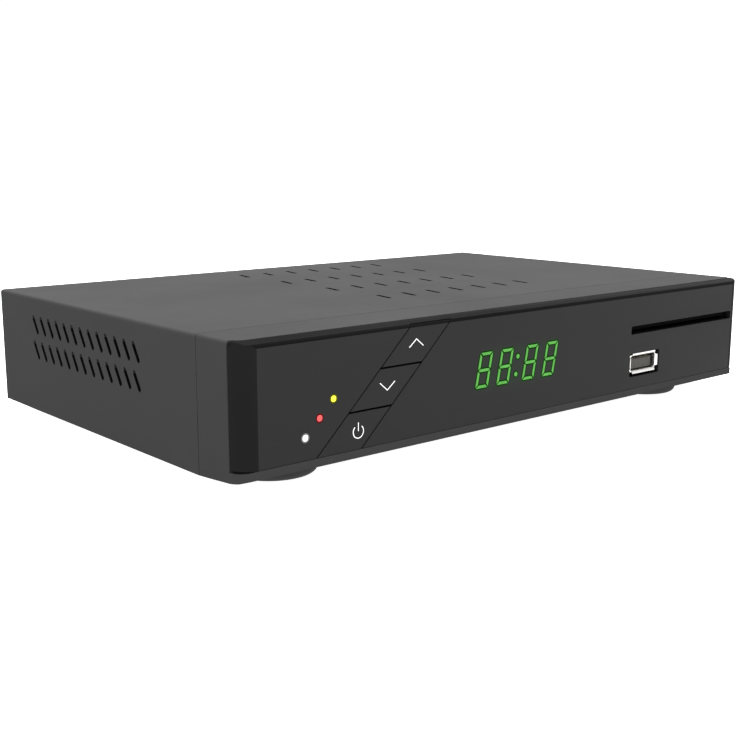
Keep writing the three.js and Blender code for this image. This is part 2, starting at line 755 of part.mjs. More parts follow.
// A threaded aerial socket with a hexagon at its root and a hole for the plug's wire.
function aerialSocket(x) {
  const centre = [across(x), up(socketRow)];
  const root = behind(tuner.back) + seat;
  const tip = rearY + plugReach;
  const thread = [];
  const threadStart = rearY + 1.4;
  const ridges = 4;
  const pitch = (tip - threadStart - 0.6) / ridges;
  for (let i = 0; i < ridges; i += 1) {
    thread.push([4.75, threadStart + (i + 0.25) * pitch], [4.75, threadStart + (i + 0.6) * pitch]);
    thread.push([4.4, threadStart + (i + 0.95) * pitch]);
  }
  const barrel = turned("y", centre, [
    [0, root],
    [4.7, root],
    [4.7, threadStart],
    ...thread,
    [4.3, tip],
    [0, tip],
  ]);
  const collar = rod("y", centre, 6.2, panelBack + 0.1, rearY + 1, 6);
  return cut(join(barrel, collar), rod("y", centre, 0.8, tip - 6, tip + 1, 8));
}

function networkSocket() {
  const [x0, x1] = [78, 94].map(across);
  const body = box([x0, x1], [behind(105.5), rearY - 0.3], [up(socketBase), up(23.3)]);
  const middle = (x0 + x1) / 2;
  const cavity = box([middle - 5.9, middle + 5.9], [rearY - 13, rearY + 1], [up(13.6), up(21.6)]);
  const latch = box([middle - 3.2, middle + 3.2], [rearY - 13, rearY + 1], [up(11.6), up(14)]);
  return cut(body, cavity, latch);
}

function videoSocket() {
  const [x, low, high] = [across(107.5), up(socketBase), up(15.9)];
  const shape = (grow) => [
    [x - 5.6 - grow, low + 0.5 - grow],
    [x + 5.6 + grow, low + 0.5 - grow],
    [x + 6.9 + grow, low + 2],
    [x + 6.9 + grow, high - 0.5 + grow],
    [x - 6.9 - grow, high - 0.5 + grow],
    [x - 6.9 - grow, low + 2],
  ];
  const shell = cut(
    prism("y", shape(0.45), behind(109), rearY - 0.3),
    prism("y", shape(0), rearY - 10, rearY + 1),
  );
  return join(shell, box([x - 5, x + 5], [rearY - 11, rearY - 1.2], [low + 2.6, low + 3.6]));
}

function audioVideoSockets() {
  const block = box([119, 149].map(across), [behind(107), panelFront - seat], [up(socketBase), up(22.8)]);
  const jack = (x, radius, from, to, sides) => rod("y", [across(x), up(socketRow)], radius, from, to, sides);
  const barrels = jackPlaces.map((x) => jack(x, 4.15, panelFront - 1, rearY + 8, 16));
  const bores = jackPlaces.map((x) => jack(x, 1.6, rearY - 2, rearY + 9, 8));
  return cut(join(block, ...barrels), ...bores);
}

// ---- Mains inlet and rocker switch ----

const inlet = {
  centre: [24, 17],
  lobeShift: 3.4,
  lobeRadius: 4.4,
  pinSpacing: 8.6,
  pinRadius: 1.2,
  depth: 12.5,
};

function mainsInlet() {
  const [x, z] = [across(inlet.centre[0]), up(inlet.centre[1])];
  const face = rearY + 0.7;
  const rim = roundedRectangle([x - 12, x + 12], [z - 8.2, z + 8.2], 2);
  const flange = prism("y", rim, panelBack + seat, face);
  const body = box([x - 10, x + 10], [face - inlet.depth - 3, panelBack + 0.5], [z - 6.5, z + 6.5]);
  const waist = THREE.MathUtils.radToDeg(Math.acos(inlet.lobeShift / inlet.lobeRadius));
  const recess = [
    ...arc([x + inlet.lobeShift, z], inlet.lobeRadius, waist - 180, 180 - waist, 10),
    ...arc([x - inlet.lobeShift, z], inlet.lobeRadius, waist, 360 - waist, 10),
  ];
  const pins = [-1, 1].map((side) =>
    rod("y", [x + (side * inlet.pinSpacing) / 2, z], inlet.pinRadius, face - inlet.depth - 1, face - 3, 12),
  );
  const hollow = prism("y", recess, face - inlet.depth, face + 1);
  return join(cut(join(flange, body), hollow), ...pins);
}

const rocker = { centre: [48, 17], half: [5.1, 7.8], pivotDepth: 3.2 };
const rockerFace = rearY + 0.7;
const rockerPivotY = rockerFace - rocker.pivotDepth;

function rockerHousing() {
  const [x, z] = [across(rocker.centre[0]), up(rocker.centre[1])];
  const rim = roundedRectangle([x - 7.5, x + 7.5], [z - 10.5, z + 10.5], 1.5);
  const flange = prism("y", rim, panelBack + seat, rockerFace);
  const body = box([x - 6.4, x + 6.4], [rockerFace - 15, panelBack + 0.5], [z - 9.4, z + 9.4]);
  const well = box([x - 5.5, x + 5.5], [rockerFace - 10, rockerFace + 1], [z - 8.5, z + 8.5]);
  return cut(join(flange, body), well);
}

// The rocker stands in its "on" position, tipped by half its swing.
function powerRocker() {
  const [x, z] = [across(rocker.centre[0]), up(rocker.centre[1])];
  const [w, h] = rocker.half;
  const outline = [
    [4.6, -h],
    [3.4, 0],
    [4.6, h],
    [1.2, h],
    [-3.6, 3],
    [-4.4, 0],
    [-3.6, -3],
    [1.2, -h],
  ];
  const tip = THREE.MathUtils.degToRad(rockerSwing / 2);
  const [cos, sin] = [Math.cos(tip), Math.sin(tip)];
  const placed = outline.map(([y, v]) => [rockerPivotY + y * cos - v * sin, z + y * sin + v * cos]);
  return prism("x", placed, x - w, x + w);
}

// ---- Hard drive and cables ----

const drive = { sides: [77, 147], front: 3, back: 103, base: 22.6, height: 9.5 };

function hardDrive() {
  const [x0, x1] = drive.sides.map(across);
  const [y0, y1] = [behind(drive.front), behind(drive.back)];
  const top = up(drive.base + drive.height);
  const body = prism("z", roundedRectangle([x0, x1], [y0, y1], 2), up(drive.base), top - 0.5);
  const lid = prism("z", roundedRectangle([x0 + 2, x1 - 2], [y0 + 8, y1 - 2], 5), top - 1, top);
  const notch = box([x0 + 8, x1 - 20], [y0 - 1, y0 + 5], [up(drive.base - 1), up(drive.base + 4)]);
  return cut(join(body, lid), notch);
}

function driveBracket() {
  const top = drive.base - seat;
  const plate = box([62.5, 149].map(across), [behind(3), behind(103.5)], [up(top - sheet), up(top)]);
  const legs = [[62.5, 63.3], [148.2, 149]].flatMap((xs) =>
    bracketLegs.map((ys) => box(xs.map(across), ys.map(behind), [up(sheet + seat), up(top - sheet / 2)])),
  );
  return join(plate, ...legs);
}

const driveCableRoute = [[2.7, 30], [-1.5, 28.5], [-2.2, 20], [0.5, 13], [9, 10.6]];
const frontCableRoute = [[-5.2, 13.5], [-2.5, 13.2], [2, 11.6], [9, 10.3]];
const powerCableRoute = [[56, 10.3], [59, 13.5], [64.5, 14.5], [69, 10.5], [73, 10.3]];

const cable = (axis, route, thickness, from, to) => {
  const place = axis === "x" ? ([y, z]) => [behind(y), up(z)] : ([x, z]) => [across(x), up(z)];
  return prism(axis, stripOutline(route.map(place), thickness), from, to);
};

// ---- The assembly ----

addPiece("top_cover", topCover(), finishes.greyPaint);
addPiece("base_chassis", baseChassis(), finishes.steel);
addPiece("rear_panel", rearPanel(), finishes.greyPaint);
addPiece("front_bezel", frontBezel(), finishes.greyPlastic);
addPiece("front_fascia", frontFascia(), finishes.blackSatin);

for (const [place, centre] of Object.entries(footPlaces)) {
  const axis = [across(centre[0]), behind(centre[1])];
  addPiece(`foot_${place}`, foot(centre), finishes.rubber);
  addPiece(`foot_screw_${place}`, screw("z", axis, 2 - seat, -1, 5.5), finishes.steel);
}
for (const [place, x] of Object.entries(coverScrewPlaces)) {
  const fixing = screw("y", [across(x), up(coverScrewHeight)], rearY + seat, 1, 6);
  addPiece(`cover_screw_${place}`, fixing, finishes.steel);
}
mainPosts.forEach(([x, y], i) => {
  const fixing = screw("z", [across(x), behind(y)], up(socketBase), 1, 7);
  addPiece(`main_board_screw_${i + 1}`, fixing, finishes.steel);
});

for (const [name, span] of Object.entries(buttonSpans)) {
  addPiece(`${name}_button`, button(span), finishes.blackSatin);
  addPiece(`${name}_switch`, switchBody(span), finishes.darkPlastic);
  addPiece(`${name}_switch_plunger`, plunger(span), finishes.whiteLens);
}
for (const [name, place] of Object.entries(lampPlaces)) {
  addPiece(`${name}_light_pipe`, lightPipe(place), finishes[`${name}Lens`]);
}
addPiece("display_module", displayModule(), finishes.displayFace);
addPiece("infrared_receiver", infraredReceiver(), finishes.darkPlastic);
addPiece("front_usb_shell", usbShell(), finishes.nickel);
addPiece("front_usb_tongue", usbTongue(), finishes.darkPlastic);
addPiece("card_reader", cardReader(), finishes.darkPlastic);
addPiece("card_reader_bracket", cardReaderBracket(), finishes.steel);

addPiece("front_circuit_board", frontBoard(), finishes.greenBoard);
addPiece("main_circuit_board", mainBoard(), finishes.greenBoard);
addPiece("processor", processor(), finishes.darkPlastic);
addPiece("processor_heatsink", heatsink(), finishes.aluminium);
addPiece("power_board", powerBoard(), finishes.greenBoard);
addPiece("transformer", transformer(), finishes.copperYellow);
addPiece("mains_capacitor", capacitor([46, 82], 8, 33), finishes.sleeveBlue);
addPiece("output_capacitor", capacitor([15, 40], 5, 28), finishes.sleeveBlue);

addPiece("tuner_can", tunerCan(), finishes.nickel);
for (const [name, x] of Object.entries(aerialPlaces)) {
  addPiece(name, aerialSocket(x), finishes.nickel);
}
addPiece("network_socket", networkSocket(), finishes.nickel);
addPiece("video_socket", videoSocket(), finishes.nickel);
addPiece("audio_video_sockets", audioVideoSockets(), finishes.darkPlastic);
addPiece("mains_inlet", mainsInlet(), finishes.darkPlastic);
addPiece("rocker_housing", rockerHousing(), finishes.darkPlastic);
addPiece("power_rocker", powerRocker(), finishes.darkPlastic);

addPiece("hard_drive", hardDrive(), finishes.aluminium);
addPiece("drive_bracket", driveBracket(), finishes.steel);
addPiece("drive_cable", cable("x", driveCableRoute, 1, across(100), across(114)), finishes.cableGrey);
addPiece("front_cable", cable("x", frontCableRoute, 0.6, across(122), across(138)), finishes.cableGrey);
addPiece("power_cable", cable("y", powerCableRoute, 0.8, behind(42), behind(54)), finishes.cableGrey);

export default recorder;
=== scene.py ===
import json
import math

import bmesh
import bpy
import numpy as np
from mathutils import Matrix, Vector


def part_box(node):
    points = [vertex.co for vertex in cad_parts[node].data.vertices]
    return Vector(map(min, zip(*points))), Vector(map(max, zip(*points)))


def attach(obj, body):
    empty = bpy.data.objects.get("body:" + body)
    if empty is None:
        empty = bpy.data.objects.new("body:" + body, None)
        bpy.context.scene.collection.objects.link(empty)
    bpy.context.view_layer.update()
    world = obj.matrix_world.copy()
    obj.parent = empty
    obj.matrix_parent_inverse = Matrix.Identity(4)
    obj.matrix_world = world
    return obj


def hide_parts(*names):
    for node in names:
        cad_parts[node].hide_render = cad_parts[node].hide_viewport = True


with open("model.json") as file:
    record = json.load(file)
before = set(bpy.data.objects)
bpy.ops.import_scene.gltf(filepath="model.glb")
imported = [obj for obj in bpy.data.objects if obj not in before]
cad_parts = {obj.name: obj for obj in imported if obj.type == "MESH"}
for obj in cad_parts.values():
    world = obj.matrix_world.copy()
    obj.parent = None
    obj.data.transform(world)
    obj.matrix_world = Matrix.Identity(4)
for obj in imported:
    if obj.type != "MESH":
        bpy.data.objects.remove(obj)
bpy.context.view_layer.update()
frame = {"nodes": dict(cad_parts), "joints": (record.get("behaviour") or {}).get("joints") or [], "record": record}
nodes = frame["nodes"]
print("frame loaded:", len(nodes), "nodes")

# A television recorder, in metres. Lengths in the dictionaries are millimetres, measured from the
# case's left side (x), the fascia's front plane (y, inwards) and the case's lower edge (z).
mm = 0.001
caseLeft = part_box("top_cover")[0].x
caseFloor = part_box("top_cover")[0].z
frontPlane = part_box("front_fascia")[0].y
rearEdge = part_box("top_cover")[1].y


def inSpace(x, y, z):
    return np.stack(np.broadcast_arrays(x, y, z), axis=-1)


def onFront(x, z, depth=0.0):
    return inSpace(caseLeft + np.asarray(x) * mm, frontPlane + np.asarray(depth) * mm,
                   caseFloor + np.asarray(z) * mm)


def rectangle(left, right, base, top):
    return [(left, base), (right, base), (right, top), (left, top)]


# Camera, floor and light

studio = {
    "cameraPlace": (-0.25621, -0.29505, 0.08610),
    "cameraDown": 10.94,        # degrees below the horizon
    "cameraTurn": -40.42,       # degrees about the vertical
    "lens": 54.26,
    "floorReach": 4.0,
    "floorLight": 0.80,         # what the lit floor gives back to the case
    "floorSeen": 0.96,
    "skyLight": 0.85,
    "skySeen": 1.05,
}

cameraData = bpy.data.cameras.new("camera")
cameraData.lens = studio["lens"]
cameraData.sensor_width = 36
cameraData.clip_start = 0.01
cameraData.clip_end = 50
cameraObject = bpy.data.objects.new("camera", cameraData)
cameraObject.location = studio["cameraPlace"]
cameraObject.rotation_euler = (math.radians(90 - studio["cameraDown"]), 0, math.radians(studio["cameraTurn"]))
bpy.context.scene.collection.objects.link(cameraObject)
bpy.context.scene.camera = cameraObject
bpy.context.scene.view_settings.view_transform = "Standard"

# name: place, point it looks at, size across and deep, power in watts
lamps = {
    "overhead": ((0.0, 0.1, 1.1), (0, 0, 0), (1.2, 1.2), 32.0),
    "frontFill": ((0.5, -1.2, 0.7), (0, 0, 0.02), (0.8, 0.8), 2.0),
}


def addLamp(name, place, target, size, power):
    data = bpy.data.lights.new(name, "AREA")
    data.shape = "RECTANGLE"
    data.size, data.size_y = size
    data.energy = power
    lamp = bpy.data.objects.new(name, data)
    lamp.location = place
    lamp.rotation_euler = (Vector(target) - Vector(place)).to_track_quat("-Z", "Y").to_euler()
    bpy.context.scene.collection.objects.link(lamp)


for lampName, lampValues in lamps.items():
    addLamp(lampName, *lampValues)


# Shader building blocks

def put(tree, kind, inputs=None, **settings):
    # adds a node, sets its options, then links or sets its inputs
    node = tree.nodes.new("ShaderNode" + kind)
    for key, value in settings.items():
        setattr(node, key, value)
    for key, value in (inputs or {}).items():
        if isinstance(value, bpy.types.NodeSocket):
            tree.links.new(value, node.inputs[key])
        else:
            node.inputs[key].default_value = value
    return node


def newGroup(name, inputs, outputs):
    group = bpy.data.node_groups.new(name, "ShaderNodeTree")
    for label, value in inputs.items():
        kind = "NodeSocketVector" if value is None else "NodeSocketFloat"
        socket = group.interface.new_socket(label, in_out="INPUT", socket_type=kind)
        if value is not None:
            socket.default_value = value
    for label, kind in outputs.items():
        group.interface.new_socket(label, in_out="OUTPUT", socket_type="NodeSocket" + kind)
    return group, group.nodes.new("NodeGroupInput").outputs, group.nodes.new("NodeGroupOutput").inputs


def useGroup(tree, group, inputs):
    return put(tree, "Group", inputs, node_tree=group).outputs


def sums(tree, operation, a, b=0.5, clamp=False):
    return put(tree, "Math", {0: a, 1: b}, operation=operation, use_clamp=clamp).outputs[0]


def blendColours(tree, factor, a, b):
    # a and b: a colour socket, (red, green, blue), or one number for a grey
    node = put(tree, "Mix", {"Factor": factor}, data_type="RGBA")
    for key, value in ((6, a), (7, b)):
        if isinstance(value, bpy.types.NodeSocket):
            tree.links.new(value, node.inputs[key])
        else:
            colour = value if isinstance(value, tuple) else (value, value, value)
            node.inputs[key].default_value = (*colour, 1)
    return node.outputs[2]


def spread(tree, value, low, high, toLow, toHigh, smooth=False):
    kind = "SMOOTHSTEP" if smooth else "LINEAR"
    return put(tree, "MapRange", {"Value": value, "From Min": low, "From Max": high, "To Min": toLow,
                                  "To Max": toHigh}, interpolation_type=kind).outputs[0]


def noise(tree, vector, scale, detail, roughness=0.5):
    return put(tree, "TexNoise", {"Vector": vector, "Scale": scale, "Detail": detail,
                                  "Roughness": roughness}).outputs["Fac"]


def cells(tree, vector, scale, result="Distance", **settings):
    return put(tree, "TexVoronoi", {"Vector": vector, "Scale": scale}, **settings).outputs[result]


# Fine grain of paint or moulded plastic: small pebbles for the height, slow clouds for the tone.
def makeGrain():
    group, given, out = newGroup("fineGrain", {"Vector": None, "Scale": 900.0, "Cloud Scale": 14.0},
                                 {"Height": "Float", "Tone": "Float"})
    pebbles = cells(group, given["Vector"], given["Scale"], feature="SMOOTH_F1")
    ripple = noise(group, given["Vector"], given["Scale"], 3.0, 0.6)
    clouds = noise(group, given["Vector"], given["Cloud Scale"], 4.0, 0.55)
    group.links.new(sums(group, "ADD", sums(group, "MULTIPLY", pebbles, 0.5), ripple), out["Height"])
    group.links.new(spread(group, clouds, 0.3, 0.7, 0.0, 1.0), out["Tone"])
    return group


# Lighter edges where a rounded normal turns away from the flat one, broken up by noise: partly rubbed wear, partly
# painted highlight along the edges.
def makeEdgeWearAndHighlight():
    group, given, out = newGroup("edgeWearAndHighlight", {"Vector": None, "Radius": 0.0004, "Amount": 0.4,
                                              "Break Scale": 300.0}, {"Mask": "Float", "Normal": "Vector"})
    rounded = put(group, "Bevel", {"Radius": given["Radius"]}, samples=4).outputs["Normal"]
    flat = put(group, "NewGeometry").outputs["Normal"]
    facing = put(group, "VectorMath", {0: rounded, 1: flat}, operation="DOT_PRODUCT").outputs["Value"]
    edge = spread(group, facing, 0.995, 0.86, 0.0, 1.0)
    broken = noise(group, given["Vector"], given["Break Scale"], 5.0)
    wornAndLit = sums(group, "MULTIPLY", edge, spread(group, broken, 0.42, 0.62, 0.0, 1.0))
    group.links.new(sums(group, "MULTIPLY", wornAndLit, given["Amount"]), out["Mask"])
    group.links.new(rounded, out["Normal"])
    return group


# Dust that settles on faces that look up, thicker in slow patches and specked.
def makeDust():
    group, given, out = newGroup("settledDust", {"Vector": None, "Amount": 0.2, "Patch Scale": 25.0},
                                 {"Mask": "Float"})
    normal = put(group, "NewGeometry").outputs["Normal"]
    upward = put(group, "SeparateXYZ", {0: normal}).outputs["Z"]
    patches = noise(group, given["Vector"], given["Patch Scale"], 6.0, 0.65)
    specks = spread(group, cells(group, given["Vector"], 700.0), 0.1, 0.02, 0.0, 1.0)
    lying = sums(group, "MULTIPLY", spread(group, upward, 0.5, 1.0, 0.0, 1.0),
                 spread(group, patches, 0.35, 0.75, 0.2, 1.0))
    speckled = sums(group, "ADD", lying, sums(group, "MULTIPLY", specks, lying))
    group.links.new(sums(group, "MULTIPLY", speckled, given["Amount"], clamp=True), out["Mask"])
    return group


# Long fine scratches along one axis: noise squeezed across them.
def makeStreaks():
    group, given, out = newGroup("rolledStreaks", {"Vector": None, "Across": 2500.0, "Along": 30.0},
                                 {"Height": "Float", "Tone": "Float"})
    stretch = put(group, "CombineXYZ", {0: given["Along"], 1: given["Across"], 2: given["Across"]}).outputs[0]
    squeezed = put(group, "VectorMath", {0: given["Vector"], 1: stretch}, operation="MULTIPLY").outputs[0]
    lines = noise(group, squeezed, 1.0, 4.0, 0.7)
    flakeTone = put(group, "SeparateColor", {0: cells(group, given["Vector"], 90.0, "Color")}).outputs["Red"]
    group.links.new(lines, out["Height"])
    group.links.new(sums(group, "ADD", sums(group, "MULTIPLY", lines, 0.6),
                         sums(group, "MULTIPLY", flakeTone, 0.4)), out["Tone"])
    return group


# A slanted soft-edged window on the front: one inside, falling to nothing past its edge.
def makeGlowWindow():
    group, given, out = newGroup("glowWindow", {"Vector": None, "Centre X": 0.0, "Centre Z": 0.0,
                                                "Half Width": 0.003, "Half Height": 0.005, "Slant": 0.0,
                                                "Soft": 0.001}, {"Mask": "Float"})
    parts = put(group, "SeparateXYZ", {0: given["Vector"]}).outputs
    rise = sums(group, "SUBTRACT", parts["Z"], given["Centre Z"])
    shift = sums(group, "SUBTRACT", sums(group, "SUBTRACT", parts["X"], given["Centre X"]),
                 sums(group, "MULTIPLY", rise, given["Slant"]))
    masks = []
    for reach, half in ((shift, given["Half Width"]), (rise, given["Half Height"])):
        past = sums(group, "SUBTRACT", sums(group, "ABSOLUTE", reach), half)
        masks.append(spread(group, sums(group, "DIVIDE", past, given["Soft"]), 0.0, 1.0, 1.0, 0.0, smooth=True))
    group.links.new(sums(group, "MULTIPLY", masks[0], masks[1]), out["Mask"])
    return group


# Printed tracks: thin borders of square cells at two sizes, and round pads.
def makeTracks():
    group, given, out = newGroup("printedTracks", {"Vector": None, "Cell Scale": 160.0}, {"Mask": "Float"})
    squares = []
    for size in (1.0, 2.3):
        scale = sums(group, "MULTIPLY", given["Cell Scale"], size)
        near = put(group, "TexVoronoi", {"Vector": given["Vector"], "Scale": scale, "Randomness": 0.8},
                   distance="CHEBYCHEV", feature="F1").outputs["Distance"]
        squares.append(spread(group, sums(group, "PINGPONG", near, 0.16), 0.10, 0.13, 0.0, 1.0))
    pads = spread(group, cells(group, given["Vector"], given["Cell Scale"]), 0.12, 0.10, 0.0, 1.0)
    both = sums(group, "MAXIMUM", squares[0], sums(group, "MULTIPLY", squares[1], 0.6))
    group.links.new(sums(group, "MAXIMUM", both, pads), out["Mask"])
    return group


grainGroup = makeGrain()
edgeWearAndHighlightGroup = makeEdgeWearAndHighlight()
dustGroup = makeDust()
streakGroup = makeStreaks()
glowGroup = makeGlowWindow()
trackGroup = makeTracks()
print("shader groups made")


# Finishes

dustColour = (0.22, 0.21, 0.2)

# dark and light are the two ends of the slow colour change; bump and edge are in millimetres;
# what a finish doesn't give comes from the plain look
plainLook = {"rough": (0.35, 0.5), "metal": 0.0, "grain": 1400, "bump": 0.004, "ior": 1.45, "wearAndHighlight": 0.1,
             "dust": 0.02, "edge": 0.25}

finishes = {
    "greyPaint": {"dark": (0.045, 0.045, 0.0455), "light": (0.05, 0.05, 0.0505), "rough": (0.5, 0.58),
        "grain": 1500, "bump": 0.008, "ior": 1.02, "wearAndHighlight": 0.25, "wornAndLit": (0.16, 0.16, 0.165), "dust": 0.05},
    "greyPlastic": {"dark": (0.044, 0.044, 0.0445), "light": (0.048, 0.048, 0.0485), "rough": (0.5, 0.58),
        "grain": 1900, "bump": 0.008, "ior": 1.02, "wearAndHighlight": 0.2, "wornAndLit": 0.1, "dust": 0.04},
    "fasciaSatin": {"dark": 0.0245, "light": 0.0265, "rough": (0.36, 0.44), "grain": 3200, "bump": 0.006,
        "ior": 1.12, "wornAndLit": 0.06},
    "fasciaPolished": {"dark": 0.013, "light": 0.015, "rough": (0.16, 0.24), "grain": 700, "bump": 0.002,
        "ior": 1.04, "wornAndLit": 0.05},
    # darker copy of the black fascia finish for its upward faces: painted shade for the dim reflection they show
    "fasciaEdge": {"dark": 0.0065, "light": 0.0085, "rough": (0.2, 0.28), "grain": 900, "bump": 0.002,
        "ior": 1.04, "wornAndLit": 0.03},
    # near-black finish for the inside of the cover, its vent slot walls and the card reader: painted shade for the
    # dark inside the case
    "coverInside": {"dark": 0.004, "light": 0.007, "rough": (0.55, 0.7), "grain": 1500, "bump": 0.012,
        "ior": 1.02, "wearAndHighlight": 0.0, "wornAndLit": 0.02, "dust": 0.0},
    "footRubber": {"dark": 0.034, "light": (0.045, 0.045, 0.044), "rough": (0.62, 0.8), "grain": 1800,
        "bump": 0.03, "ior": 1.4, "wearAndHighlight": 0.5, "wornAndLit": (0.08, 0.08, 0.078), "dust": 0.1},
    "plainSteel": {"dark": (0.4, 0.41, 0.42), "light": (0.62, 0.63, 0.64), "rough": (0.3, 0.46), "metal": 1.0,
        "streaks": (2600, 40), "bump": 0.006, "wearAndHighlight": 0.2, "wornAndLit": (0.75, 0.75, 0.76), "dust": 0.05},
    "brightNickel": {"dark": (0.84, 0.83, 0.81), "light": (0.97, 0.96, 0.94), "rough": (0.2, 0.32),
        "metal": 1.0, "grain": 900, "wearAndHighlight": 0.2, "wornAndLit": (0.86, 0.85, 0.83)},
    "platedNickel": {"dark": (0.46, 0.45, 0.43), "light": (0.6, 0.59, 0.57), "rough": (0.18, 0.3),
        "metal": 1.0, "grain": 900, "wearAndHighlight": 0.3, "wornAndLit": (0.72, 0.71, 0.69), "dust": 0.04},
    "bareAluminium": {"dark": (0.55, 0.56, 0.57), "light": (0.7, 0.71, 0.72), "rough": (0.34, 0.5),
        "metal": 1.0, "streaks": (1800, 60), "bump": 0.01, "wearAndHighlight": 0.3, "wornAndLit": (0.84, 0.84, 0.85),
        "dust": 0.05},
    "darkPlastic": {"dark": (0.01, 0.01, 0.011), "light": (0.018, 0.018, 0.019), "rough": (0.42, 0.56),
        "grain": 2000, "bump": 0.008, "wearAndHighlight": 0.2, "wornAndLit": 0.05, "dust": 0.04},
    "cableGrey": {"dark": (0.3, 0.31, 0.32), "light": (0.38, 0.39, 0.4), "rough": (0.45, 0.6), "grain": 900,
        "bump": 0.01, "wornAndLit": 0.5, "dust": 0.05},
    "capacitorSleeve": {"dark": (0.014, 0.045, 0.13), "light": (0.02, 0.06, 0.17), "rough": (0.28, 0.4),
        "grain": 600, "bump": 0.01, "wearAndHighlight": 0.2, "wornAndLit": (0.1, 0.16, 0.28), "dust": 0.05},
    "socketTongue": {"dark": (0.044, 0.042, 0.036), "light": (0.054, 0.052, 0.044), "rough": (0.45, 0.6),
        "grain": 1600, "bump": 0.008, "wornAndLit": (0.2, 0.2, 0.17)},
    "goldPlate": {"dark": (0.8, 0.56, 0.2), "light": (0.9, 0.66, 0.28), "rough": (0.18, 0.3), "metal": 1.0,
        "grain": 1200, "bump": 0.002, "wornAndLit": (0.9, 0.8, 0.5), "dust": 0.01},
    "whitePlastic": {"dark": (0.62, 0.62, 0.6), "light": (0.74, 0.74, 0.72), "wornAndLit": (0.8, 0.8, 0.78)},
    "redPlastic": {"dark": (0.42, 0.012, 0.01), "light": (0.54, 0.02, 0.016), "wornAndLit": (0.6, 0.1, 0.08)},
    "yellowPlastic": {"dark": (0.66, 0.44, 0.02), "light": (0.78, 0.54, 0.03), "wornAndLit": (0.8, 0.66, 0.2)},
    "greenBoard": {"dark": (0.008, 0.06, 0.026), "light": (0.012, 0.085, 0.038), "rough": (0.3, 0.42),
        "grain": 500, "bump": 0.01, "wornAndLit": (0.3, 0.3, 0.12), "dust": 0.1, "tracks": (0.035, 0.17, 0.08)},
    "windingTape": {"dark": (0.52, 0.34, 0.05), "light": (0.62, 0.42, 0.08), "grain": 500, "bump": 0.02,
        "wearAndHighlight": 0.2, "wornAndLit": (0.7, 0.5, 0.15), "dust": 0.05},
}


materials = {}


def newMaterial(name):
    material = materials[name] = bpy.data.materials.new(name)
    material.use_nodes = True
    return material, material.node_tree, material.node_tree.nodes["Principled BSDF"]


def makeFinish(name, look):
    look = {**plainLook, **look}
    _, tree, shader = newMaterial(name)
    place = put(tree, "TexCoord").outputs["Object"]
    if "streaks" in look:
        across, along = look["streaks"]
        grain = useGroup(tree, streakGroup, {"Vector": place, "Across": across, "Along": along})
    else:
        grain = useGroup(tree, grainGroup, {"Vector": place, "Scale": look["grain"]})
    wearAndHighlight = useGroup(tree, edgeWearAndHighlightGroup, {"Vector": place, "Radius": look["edge"] * mm, "Amount": look["wearAndHighlight"]})
    dust = useGroup(tree, dustGroup, {"Vector": place, "Amount": look["dust"]})
    colour = blendColours(tree, grain["Tone"], look["dark"], look["light"])
    if "tracks" in look:
        tracks = useGroup(tree, trackGroup, {"Vector": place})
        colour = blendColours(tree, tracks["Mask"], colour, look["tracks"])
    # lighter edges: rubbed wear and a painted edge highlight
    colour = blendColours(tree, wearAndHighlight["Mask"], colour, look["wornAndLit"])
    colour = blendColours(tree, dust["Mask"], colour, dustColour)
    roughness = spread(tree, grain["Tone"], 0, 1, *look["rough"])
    dusty = sums(tree, "ADD", roughness, sums(tree, "MULTIPLY", dust["Mask"], 0.4), clamp=True)
    bump = put(tree, "Bump", {"Strength": 1.0, "Distance": look["bump"] * mm, "Height": grain["Height"],
                              "Normal": wearAndHighlight["Normal"]}).outputs[0]
    tree.links.new(colour, shader.inputs["Base Color"])
    tree.links.new(dusty, shader.inputs["Roughness"])
    tree.links.new(bump, shader.inputs["Normal"])
    shader.inputs["Metallic"].default_value = look["metal"]
    shader.inputs["IOR"].default_value = look["ior"]


for name, look in finishes.items():
    makeFinish(name, look)


def makePrint(name, glow, base, scales, rough, strength, ior):
    # glow and base: the two colours that the grain blends between
    _, tree, shader = newMaterial(name)
    tone = useGroup(tree, grainGroup, {"Vector": put(tree, "TexCoord").outputs["Object"], "Scale": scales[0],
                                       "Cloud Scale": scales[1]})
    tree.links.new(blendColours(tree, tone["Tone"], *glow), shader.inputs["Emission Color"])
    tree.links.new(blendColours(tree, tone["Tone"], *base), shader.inputs["Base Color"])
    tree.links.new(spread(tree, tone["Height"], 0, 1, *rough), shader.inputs["Roughness"])
    shader.inputs["Emission Strength"].default_value = strength
    shader.inputs["IOR"].default_value = ior


# painted glow of the digits' light on the fascia round the clock
paintedDigitGlow = {
    "centre": (99.8, 19.9),
    "half": (15.5, 4.6),
    "slant": 0.19,
    "soft": 3.2,
    "glowColour": (0.0, 0.008, 0.0005),
}


def addPaintedDigitGlow(name):
    # painted glow: light of the lit digits painted as emission on the fascia round them
    tree = materials[name].node_tree
    shader = tree.nodes["Principled BSDF"]
    x, z = paintedDigitGlow["centre"]
    width, height = paintedDigitGlow["half"]
    place = put(tree, "TexCoord").outputs["Object"]
    window = useGroup(tree, glowGroup, {"Vector": place, "Centre X": caseLeft + x * mm,
                                        "Centre Z": caseFloor + z * mm, "Half Width": width * mm,
                                        "Half Height": height * mm, "Slant": paintedDigitGlow["slant"],
                                        "Soft": paintedDigitGlow["soft"] * mm})
    tree.links.new(blendColours(tree, window["Mask"], 0.0, paintedDigitGlow["glowColour"]), shader.inputs["Emission Color"])
    shader.inputs["Emission Strength"].default_value = 1.0


addPaintedDigitGlow("fasciaSatin")
print("finishes made")


# Mesh helpers

